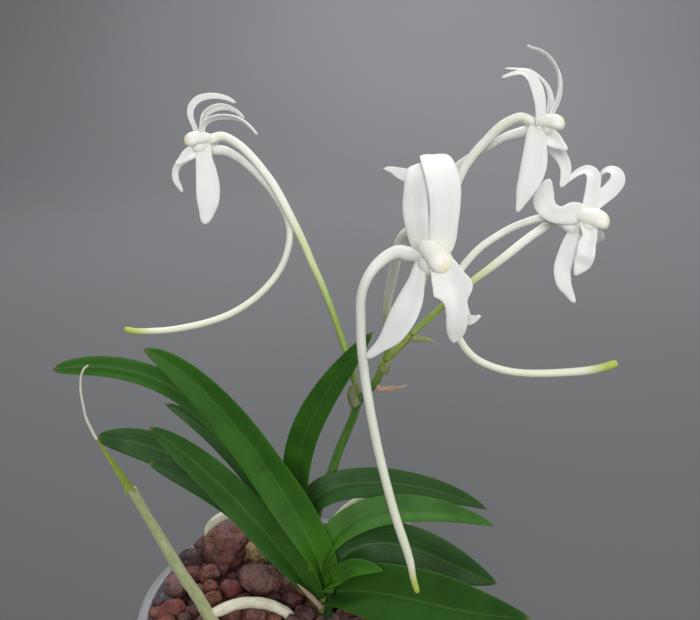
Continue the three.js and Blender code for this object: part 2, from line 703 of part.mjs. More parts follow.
const colours = {
  pot: 0xcfd0da,
  pebbles: 0x6a3f3a,
  stem: 0x5c8a35,
  root: 0xd8dcbc,
  dry: 0xa07a5a,
  bractGreen: 0x7aa045,
  pedicel: 0x9fbf6a,
  tepal: 0xf4f4ee,
  column: 0xf3ecc8,
};

/** Point on the pot's outer wall at a height, as a radius. */
const wallRadius = (height) => mix(pot.footRadius, pot.shoulderRadius, height / (pot.height - pot.lipHeight));

function potShell() {
  const lipFoot = pot.height - pot.lipHeight;
  const inner = wallRadius(lipFoot) - pot.wall;
  const profile = [
    [0, 0],
    [pot.footRadius - 1, 0],
    [pot.footRadius, 1],
    [wallRadius(lipFoot), lipFoot],
    [pot.rimRadius, lipFoot + 0.4],
    [pot.rimRadius, pot.height - pot.lipRounding],
    [pot.rimRadius - pot.lipRounding, pot.height],
    [inner + pot.lipRounding, pot.height],
    [inner, pot.height - pot.lipRounding],
    [inner, lipFoot],
    [wallRadius(pot.floor) - pot.wall, pot.floor],
    [0, pot.floor],
  ];
  const shell = new THREE.LatheGeometry(profile.map(([r, z]) => new THREE.Vector2(r, z)), 36);
  shell.rotateX(Math.PI / 2);
  let body = solid(facingOut(shell));
  for (let hole = 0; hole < pot.drains; hole += 1) {
    const angle = (2 * Math.PI * hole) / pot.drains;
    const drain = new THREE.CylinderGeometry(pot.drainRadius, pot.drainRadius, 4 * pot.floor, 12);
    drain.rotateX(Math.PI / 2);
    drain.translate(pot.drainRing * Math.cos(angle), pot.drainRing * Math.sin(angle), 0);
    body = body.subtract(solid(drain));
  }
  return surface(body);
}

/** Repeatable number from 0 to 1 for a whole number. */
function scatter(seed) {
  const wave = Math.sin(seed * 127.1 + 11.7) * 43758.5453;
  return wave - Math.floor(wave);
}

/** Rough stone: a ball with each corner drawn in or pushed out. */
function stone(middle, half, seed, grow = 0, detail = 1) {
  const round = new THREE.IcosahedronGeometry(1, detail);
  const ball = mergeVertices(round.deleteAttribute('uv').deleteAttribute('normal'));
  const place = ball.getAttribute('position');
  for (let k = 0; k < place.count; k += 1) {
    const rough = 0.86 + 0.2 * scatter(seed * 61 + k);
    place.setXYZ(
      k,
      middle[0] + place.getX(k) * (half[0] * rough + grow),
      middle[1] + place.getY(k) * (half[1] * rough + grow),
      middle[2] + place.getZ(k) * (half[2] * rough + grow),
    );
  }
  return ball;
}

/** Height of the mound at a distance from the axis. */
const moundHeight = (radius) => mix(bed.crown, bed.shoulder, ease(radius, 12, 28));

function looseStone(index) {
  const spread = Math.sqrt((index + 0.5) / bed.looseStones);
  const radius = 3 + 24 * spread;
  const angle = index * 2.39996 + 0.5 * scatter(index);
  const size = mix(...bed.stoneRadius, scatter(index + 500)) * Math.min(1, 0.45 + 0.05 * radius);
  const outer = Math.min(radius, 26.2 - size);
  const half = [size, size * (0.8 + 0.3 * scatter(index + 200)), size * (0.7 + 0.25 * scatter(index + 300))];
  const middle = [outer * Math.cos(angle), outer * Math.sin(angle), moundHeight(outer) + 0.15 * size];
  return stone(middle, half, index + 20, 0.3, 0);
}

function pebbleBed(sockets) {
  const inner = (height) => wallRadius(height) - pot.wall - 2 * touchGap;
  const floorLevel = pot.floor + touchGap;
  const rows = [0.3, 0.55, 0.75, 0.9].map((share) => {
    const radius = share * inner(bed.shoulder);
    return [radius, moundHeight(radius)];
  });
  const profile = [
    [0, floorLevel],
    [bed.padRadius, floorLevel],
    [bed.padRadius + 1, bed.underside],
    [inner(bed.underside), bed.underside],
    [inner(bed.shoulder), bed.shoulder],
    ...rows.reverse(),
    [0, bed.crown],
  ];
  const core = new THREE.LatheGeometry(profile.map(([r, z]) => new THREE.Vector2(r, z)), 24);
  core.rotateX(Math.PI / 2);
  let body = solid(facingOut(core));
  for (let index = 0; index < bed.looseStones; index += 1) {
    body = body.add(solid(looseStone(index)));
  }
  for (const socket of sockets) {
    body = body.subtract(solid(socket.translate(...clump)));
  }
  const largest = body.decompose().reduce((best, next) => (next.volume() > best.volume() ? next : best));
  return surface(largest);
}

/** Widening from a narrow base, then a little narrower outwards, running out to a tip. */
function leafWidth(share, { width, narrowing, blunt }) {
  const base = mix(0.3, 1, ease(share, 0, 0.35)) - narrowing * ease(share, 0.35, 0.85);
  const start = mix(0.42, 0.66, blunt);
  const rest = Math.max(0, share - start) / (1 - start);
  const tip = Math.max(0, 1 - rest ** mix(2.2, 3.4, blunt)) ** mix(0.8, 0.5, blunt);
  return Math.max(0.5, width * base * tip);
}

function leafBlade(leaf) {
  const { spine, fold, looks } = leaf;
  const curve = bezier(spine);
  const steps = 16;
  const outward = vector(spine[3]).sub(vector(spine[0])).setZ(0).normalize();
  const towardStem = new THREE.Vector3(0, -0.75, 0.4).addScaledVector(outward, -0.7);
  return blade(curve, turningNormals(curve, steps, towardStem, vector(looks), 0.5), {
    widthAt: (share) => leafWidth(share, leaf),
    foldAt: (share) => mix(40, fold, ease(share, 0, 0.35)),
    thicknessAt: (share) => leafThickness * mix(1, 0.5, share),
  });
}

function dryBlade({ spine, width }) {
  const curve = bezier(spine);
  return blade(curve, carriedNormals(curve, 4, new THREE.Vector3(0.1, 0.9, 0.4)), {
    widthAt: (share) => width * mix(1, 0.3, share ** 2),
    foldAt: () => 18,
    thicknessAt: () => 0.4,
  });
}

/** The three directions of a flower: where it looks, its top and its right-hand side. */
function floralAxes({ looks }) {
  const forward = vector(looks).normalize();
  const top = across(new THREE.Vector3(0, 0, 1), forward);
  const right = forward.clone().negate().cross(top);
  return { forward, top, right };
}

/** Where a floral part starts, at an angle round the column. */
function floralBase(flower, angle, radius) {
  const { forward, top, right } = floralAxes(flower);
  const turn = THREE.MathUtils.degToRad(angle);
  return vector(flower.middle)
    .addScaledVector(forward, floralRing.lift)
    .addScaledVector(right, radius * Math.cos(turn))
    .addScaledVector(top, radius * Math.sin(turn));
}

/** Middle line of a tepal or lip from its place on the ring, and its half width along it. */
function organLine(flower, base, route) {
  const { forward } = floralAxes(flower);
  const clearOfColumn = ([x, y, z]) => {
    const place = vector([x, y, z]);
    return place.addScaledVector(forward, -place.dot(forward)).length() > floralRing.reach;
  };
  const free = route.filter(clearOfColumn);
  const points = [base, ...free.map(([x, y, z]) => vector(flower.middle).add(vector([x, y, z])))];
  const halves = [0.45, ...free.map((point) => point[3])];
  const runs = [0];
  for (let k = 1; k < points.length; k += 1) {
    runs.push(runs[k - 1] + points[k].distanceTo(points[k - 1]));
  }
  const total = runs.at(-1);
  const halfAt = (share) => {
    const k = Math.max(1, runs.findIndex((run) => run >= share * total - 1e-9));
    const half = mix(halves[k - 1], halves[k], (share * total - runs[k - 1]) / (runs[k] - runs[k - 1]));
    return Math.min(half, 0.45 + 0.2 * share * total);
  };
  return { curve: new THREE.CatmullRomCurve3(points, false, 'centripetal'), halfAt };
}

function tepal(flower, name, angle) {
  const { looks, route } = flower.tepals[name];
  const { curve, halfAt } = organLine(flower, floralBase(flower, angle, floralRing.radius), route);
  return blade(curve, carriedNormals(curve, 13, vector(looks)), {
    widthAt: (share) => 2 * halfAt(share) * Math.sqrt(1.02 - share ** 24),
    foldAt: () => 10,
    thicknessAt: (share) => tepalThickness * mix(1, 0.7, share),
  });
}

function column(flower) {
  const profile = [[0, 0], [1.05, 0], [1.15, 1.2], [1.4, 2.2], [1.45, 2.8], [1.1, 3.4], [0, 3.7]];
  const body = new THREE.LatheGeometry(profile.map(([r, z]) => new THREE.Vector2(r, z)), 12);
  const { forward } = floralAxes(flower);
  body.applyQuaternion(new THREE.Quaternion().setFromUnitVectors(new THREE.Vector3(0, 1, 0), forward));
  body.translate(...vector(flower.middle).addScaledVector(forward, touchGap));
  return facingOut(mergeVertices(body.deleteAttribute('uv').deleteAttribute('normal'), 1e-5));
}

/** Lip with its side lobes, grown together with the long hollow spur behind it. */
function lipAndSpur(flower, angle) {
  const { forward } = floralAxes(flower);
  const foot = floralBase(flower, angle, floralRing.lipDrop).addScaledVector(forward, floralRing.lipAhead);
  const { curve, halfAt } = organLine(flower, foot, flower.lip.route);
  const tongue = blade(curve, carriedNormals(curve, 13, vector(flower.lip.looks)), {
    widthAt: (share) => 2 * halfAt(share) * Math.sqrt(1.02 - share ** 20),
    foldAt: () => 10,
    thicknessAt: () => lipThickness,
  });
  const mouth = foot.clone().addScaledVector(forward, 0.2);
  const route = new THREE.CatmullRomCurve3([mouth, ...flower.spur.map(vector)], false, 'centripetal');
  const girth = (share) => {
    const even = spurRadius * mix(1.3, 1, ease(share, 0, 0.16)) + flower.swell * ease(share, 0.75, 0.92);
    return even * mix(1, 0.85, ease(share, 0.96, 1));
  };
  const spur = stalk(route, girth, 6, 28);
  return joined([tongue, spur]);
}

/** Share of a stalk's curve at which it first stands clear of the flower stem's middle line. */
function clearShare(curve, clear) {
  const stem = spline(flowerStem.route).getSpacedPoints(200);
  const steps = 400;
  for (let step = 0; step < steps; step += 1) {
    const place = curve.getPointAt(step / steps);
    if (Math.min(...stem.map((point) => point.distanceTo(place))) > clear) {
      return step / steps;
    }
  }
  return 0;
}

function pedicel(flower, clear) {
  const { forward } = floralAxes(flower);
  const middle = vector(flower.middle);
  const whole = new THREE.CatmullRomCurve3(
    [...flower.pedicel.map(vector), middle.clone().addScaledVector(forward, -0.9), middle],
    false,
    'centripetal',
  );
  const start = clearShare(whole, clear);
  const places = Array.from({ length: 97 }, (_, k) => whole.getPointAt(mix(start, 1, k / 96)));
  const girth = (share) => {
    const even = mix(...pedicelRadius, ease(share, 0.25, 0.7));
    return mix(even, receptacleRadius, ease(share, 0.93, 1));
  };
  return stalk(new THREE.CatmullRomCurve3(places, false, 'centripetal'), girth, 8, 20);
}

const rootAt = (radii) => (share) => mix(...radii, share);

function aerialRootBody() {
  const { arm, armRadius, arch, archRadius, strip, stripRadius, core, coreRadius } = aerialRoot;
  return joined([
    stalk(spline(arm), rootAt(armRadius), 8, 12),
    stalk(spline(arch), rootAt(archRadius), 8, 12),
    stalk(spline(strip), rootAt(stripRadius), 6, 5),
    stalk(spline(core), rootAt(coreRadius), 6, 10),
  ]);
}

function sideShootBody() {
  const { foot, top, radius, leaf, leafWidth: width } = sideShoot;
  const pipe = stalk(spline([foot, top]), () => radius, 8, 2);
  const curve = bezier(leaf);
  const towardStem = new THREE.Vector3(-0.5, 0.4, 0.4);
  const normals = turningNormals(curve, 8, towardStem, new THREE.Vector3(-0.2, -0.8, 0.55), 0.4);
  const young = blade(curve, normals, {
    widthAt: (share) => leafWidth(share, { width, narrowing: 0, blunt: 0 }),
    foldAt: (share) => mix(44, 14, share),
    thicknessAt: () => leafThickness,
  });
  return joined([pipe, young]);
}

/** A socket that clears a round stalk planted in the pebbles. */
function socketFor(points, radius) {
  const curve = spline(points);
  const clear = radius + 1.3 * touchGap;
  const foot = curve.getPointAt(0).addScaledVector(curve.getTangentAt(0), -touchGap);
  const route = new THREE.CatmullRomCurve3([foot, ...curve.getSpacedPoints(14).slice(1)]);
  return stalk(route, () => clear, 10, 14);
}

const sockets = [
  socketFor([stems.front_stem.foot, stems.front_stem.top], stemRadius),
  socketFor([stems.back_stem.foot, stems.back_stem.top], stemRadius),
  socketFor([sideShoot.foot, sideShoot.top], sideShoot.radius),
  socketFor(aerialRoot.arm.slice(0, 5), aerialRoot.armRadius[0]),
  socketFor(aerialRoot.arch, aerialRoot.archRadius[1]),
  socketFor(roots.root_right.toReversed(), rootRadius[1]),
  socketFor(roots.root_left.toReversed(), rootRadius[1]),
  socketFor(roots.root_right, rootRadius[1]),
  socketFor(roots.root_left, rootRadius[1]),
  ...Object.values(stones).map(({ middle, half, seed }) => stone(middle, half, seed, touchGap * 1.2)),
];

addPiece('pot', potShell(), colours.pot, 0.35, object);
addPiece('pebble_bed', pebbleBed(sockets), colours.pebbles, 0.95, object);
for (const [name, { middle, half, seed, colour }] of Object.entries(stones)) {
  addPiece(name, stone(middle, half, seed), colour, 0.95);
}
const stemAt = (share) => stemRadius * mix(1, 0.8, share);
for (const [name, { foot, top }] of Object.entries(stems)) {
  addPiece(name, stalk(spline([foot, top]), stemAt, 10, 3), colours.stem, 0.5);
}
for (const [name, leaf] of Object.entries(leaves)) {
  addPiece(name, leafBlade(leaf), leaf.colour, 0.35);
}
addPiece('side_shoot', sideShootBody(), colours.stem, 0.4);
for (const [name, piece] of Object.entries(dryPieces)) {
  addPiece(name, dryBlade(piece), name === 'bract_tip' ? colours.bractGreen : colours.dry, 0.9);
}
addPiece('aerial_root', aerialRootBody(), colours.root, 0.7);
for (const [name, points] of Object.entries(roots)) {
  addPiece(name, stalk(spline(points), rootAt(rootRadius), 8, 16), colours.root, 0.75);
}
const flowerStemBody = stalk(spline(flowerStem.route), rootAt(flowerStem.radius), 8, 20);
addPiece('flower_stem', flowerStemBody, colours.stem, 0.45);
for (const [place, flower] of Object.entries(flowers)) {
  const { lip, clear, ...angles } = floralPlan[place];
  addPiece(`pedicel_${place}`, pedicel(flower, clear), colours.pedicel, 0.5);
  for (const [part, angle] of Object.entries(angles)) {
    addPiece(`flower_${place}_${part}`, tepal(flower, part, angle), colours.tepal, 0.55);
  }
  addPiece(`flower_${place}_lip_and_spur`, lipAndSpur(flower, lip), colours.tepal, 0.5);
  addPiece(`flower_${place}_column`, column(flower), colours.column, 0.5);
}

export default object;
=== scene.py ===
"""Looks of a wind orchid in its pot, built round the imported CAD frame.

Each organ is lofted again, much finer, along the driving curve of its CAD node or within 2 mm
of it, and replaces that node. Driving lengths are in millimetres; MM turns them into the frame's
metres. The plant is measured from the point where its clump of stems grows (CLUMP), the pot
from the middle of its foot.
"""

import math

import bmesh
import bpy
import numpy as np
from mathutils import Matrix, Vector, noise


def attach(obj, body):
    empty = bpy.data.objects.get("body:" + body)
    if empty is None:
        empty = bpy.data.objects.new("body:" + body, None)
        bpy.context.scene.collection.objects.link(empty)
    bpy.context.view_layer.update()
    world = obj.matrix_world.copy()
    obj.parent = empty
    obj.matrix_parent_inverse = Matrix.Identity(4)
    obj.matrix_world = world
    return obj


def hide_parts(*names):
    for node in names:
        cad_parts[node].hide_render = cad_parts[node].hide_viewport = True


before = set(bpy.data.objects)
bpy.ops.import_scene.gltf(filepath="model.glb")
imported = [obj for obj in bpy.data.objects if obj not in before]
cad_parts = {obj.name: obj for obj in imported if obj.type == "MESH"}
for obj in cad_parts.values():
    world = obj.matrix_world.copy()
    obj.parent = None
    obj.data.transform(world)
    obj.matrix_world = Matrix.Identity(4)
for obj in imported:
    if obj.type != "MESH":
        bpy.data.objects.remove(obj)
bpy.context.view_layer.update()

MM = 0.001
CLUMP = np.array([6.0, 4.0, 0.0])  # the clump of stems, seen from the pot's axis
RANDOM = np.random.default_rng(20)

# ------------------------------------------------------------------ driving sizes, millimetres

# The pot: radii at foot, shoulder and rim, and round drain holes on a ring in its floor.
POT = dict(
    height=70, foot=22.5, shoulder=28.8, rim=30, lip=4, rounding=0.6, wall=1.3, floor=2,
    drain=2.2, drain_ring=15, drains=6, foot_corner=1.2, lip_corner=0.4, floor_corner=0.8,
)
# The pebble bed: a flat crown in the middle that slopes down to a shoulder at the wall.
BED = dict(shoulder=68, crown=70.5, flat_to=16, slope_to=28, underside=5)

# The two short stems of the clump: foot and top.
STEMS = {"front_stem": ((2, -5.6, 60), (2, -5.2, 76)), "back_stem": ((0, 3, 60), (0, 3, 77))}
STEM_RADIUS = 1.8

# Leaves: four Bezier points, width, how much narrower the outer half gets, fold angle, where the
# open side of the fold looks, tone: how light and yellow the green is, and how blunt the tip is.
LEAVES = {
    "leaf_left_front_upper": (
        ((1.9, -7.3, 77.1), (0.5, -4.9, 90), (-17.1, -4.5, 122.1), (-29.4, -5, 127.1)),
        8.4, 0.14, 30, (-0.2, -0.85, 0.5), 0.46, 0.5),
    "leaf_left_back_upper": (
        ((-1.8, 2.9, 78.6), (-13.9, 6.8, 96.6), (-22.6, 9, 121.8), (-49.8, 3.8, 119)),
        5.6, 0.05, 36, (0.1, -0.8, 0.6), 0.42, 1),
    "leaf_left_back_middle": (
        ((-2.5, 3.4, 74.1), (-8.6, 5.2, 88.1), (-17.9, 9.9, 100.2), (-31.2, 11.4, 107.9)),
        6.2, 0.1, 30, (0.3, -0.4, 0.9), 0.15, 0.4),
    "leaf_left_back_lower": (
        ((-2.5, 2.8, 72.5), (-13.5, 6, 85.7), (-25.5, 8.6, 101.1), (-44, 5.5, 103.3)),
        7.2, 0, 20, (0.1, -0.85, 0.5), 0.22, 0.7),
    "leaf_left_front_middle": (
        ((0.3, -7.3, 74.1), (-7.7, -6.3, 88.5), (-17.4, -6.5, 102.2), (-28.3, -9.7, 114.2)),
        7.6, 0.12, 30, (0.4, -0.8, 0.6), 0.3, 0.4),
    "leaf_left_front_lower": (
        ((-1, -4.8, 75), (-9, -4.2, 88.4), (-16.8, -5.2, 99.2), (-30.3, -5.8, 104.5)),
        6.2, 0, 30, (0.3, -0.6, 0.75), 0.1, 0.6),
    "leaf_upright": (
        ((-1.2, 3.2, 77.6), (-6.5, 3.8, 100.7), (-2.1, -1.8, 111.4), (11, -4, 130)),
        6.6, 0.1, 28, (-0.3, -1, 0.2), 0.5, 0.3),
    "leaf_right_back": (
        ((0.6, 4.4, 78.2), (-9.7, 0.8, 102.5), (25.5, 8.5, 91.3), (35.7, 5.6, 86.1)),
        6.6, 0, 24, (-0.2, -0.75, 0.65), 0.16, 0),
    "leaf_right_upper": (
        ((1.7, -7.1, 80.5), (2.9, -2.1, 95.5), (24.8, -1.6, 92.5), (34.9, -4.8, 89.8)),
        6.8, 0.12, 30, (-0.2, -0.6, 0.8), 0.52, 0),
    "leaf_right_middle": (
        ((3.1, -6.7, 78.5), (9.7, 1.4, 90.3), (25.4, -6.9, 82.2), (35.4, -9, 79.7)),
        9.4, 0, 20, (-0.1, -0.9, 0.45), 0.14, 0),
    "leaf_right_lower": (
        ((4.2, -7.5, 76.3), (16.3, -14.5, 83.6), (21.6, -29.2, 90.5), (33.9, -36.7, 97.1)),
        11, 0, 20, (-0.3, -0.6, 0.75), 0.28, 0),
}
LEAF_THICKNESS = 0.8

# A young shoot: its stalk from foot to top, and its one leaf as four Bezier points.
SIDE_SHOOT = dict(
    foot=(2.2, -9.3, 63), top=(3.1, -9.9, 79.5), radius=0.95,
    leaf=((3.4, -10.1, 78.5), (4.4, -10.6, 85.7), (9.1, -13.4, 87.9), (13, -15.5, 88)), width=3.8,
)

# Dry pieces: four Bezier points, width and share of green.
DRY_PIECES = {
    "dry_sheath": (
        ((1.2, -9, 73.2), (0.2, -10.2, 76), (-1.2, -11, 79), (-3, -11.4, 81.6)), 1.5, 0),
    "bract_sheath": (
        ((7.8, -0.2, 113), (7.2, -0.9, 115), (7.5, -1.5, 117.3), (8.4, -2, 119.6)), 2.5, 0.6),
    "bract_dry": (
        ((11.8, -3.4, 118.2), (13.3, -4, 118.3), (15, -4.4, 118.5), (17.2, -4.6, 119.8)), 1.7, 0),
    "bract_node": (
        ((13, -3.6, 121.6), (13.6, -4.1, 122.7), (14.2, -4.1, 123.7), (14.4, -3.9, 124.6)), 2.0, 0.75),
    "bract_tip": (
        ((18.2, -3.6, 128), (19.6, -4, 128.4), (20.9, -4.2, 128.4), (22, -4.4, 128)), 1.6, 1),
}

# Points of the flower stem from its foot to where the last flower stalk leaves it.
FLOWER_STEM = (
    (-0.7, 6.3, 77.7), (-0.4, 7.1, 82), (0.3, 7.6, 85.6), (1.4, 7.7, 89), (2.9, 7.5, 93.1),
    (4.4, 6.5, 98.7), (5.9, 5.4, 103.5), (7.4, 3.7, 108.3), (8.6, 1.8, 113.1), (10.2, -0.2, 116.4),
    (11.8, -1.7, 119.3), (12.8, -2.3, 122), (13.8, -2.5, 124.3), (15.5, -2.6, 126.1),
    (18, -2.2, 128.8),
)
FLOWER_STEM_RADIUS = (1.1, 0.62)  # at foot and top
FLOWER_STEM_NODES = (0.73, 0.86)  # where it is swollen, as shares of its length
NODE_HEIGHT = 0.22
NODE_LENGTH = 0.018  # as a share of the stem's length

PEDICEL_RADIUS = (0.58, 0.78)  # low on the stalk and in the ovary
RECEPTACLE_RADIUS = 1.05  # the ring that carries a flower
SPUR_RADIUS = 0.64

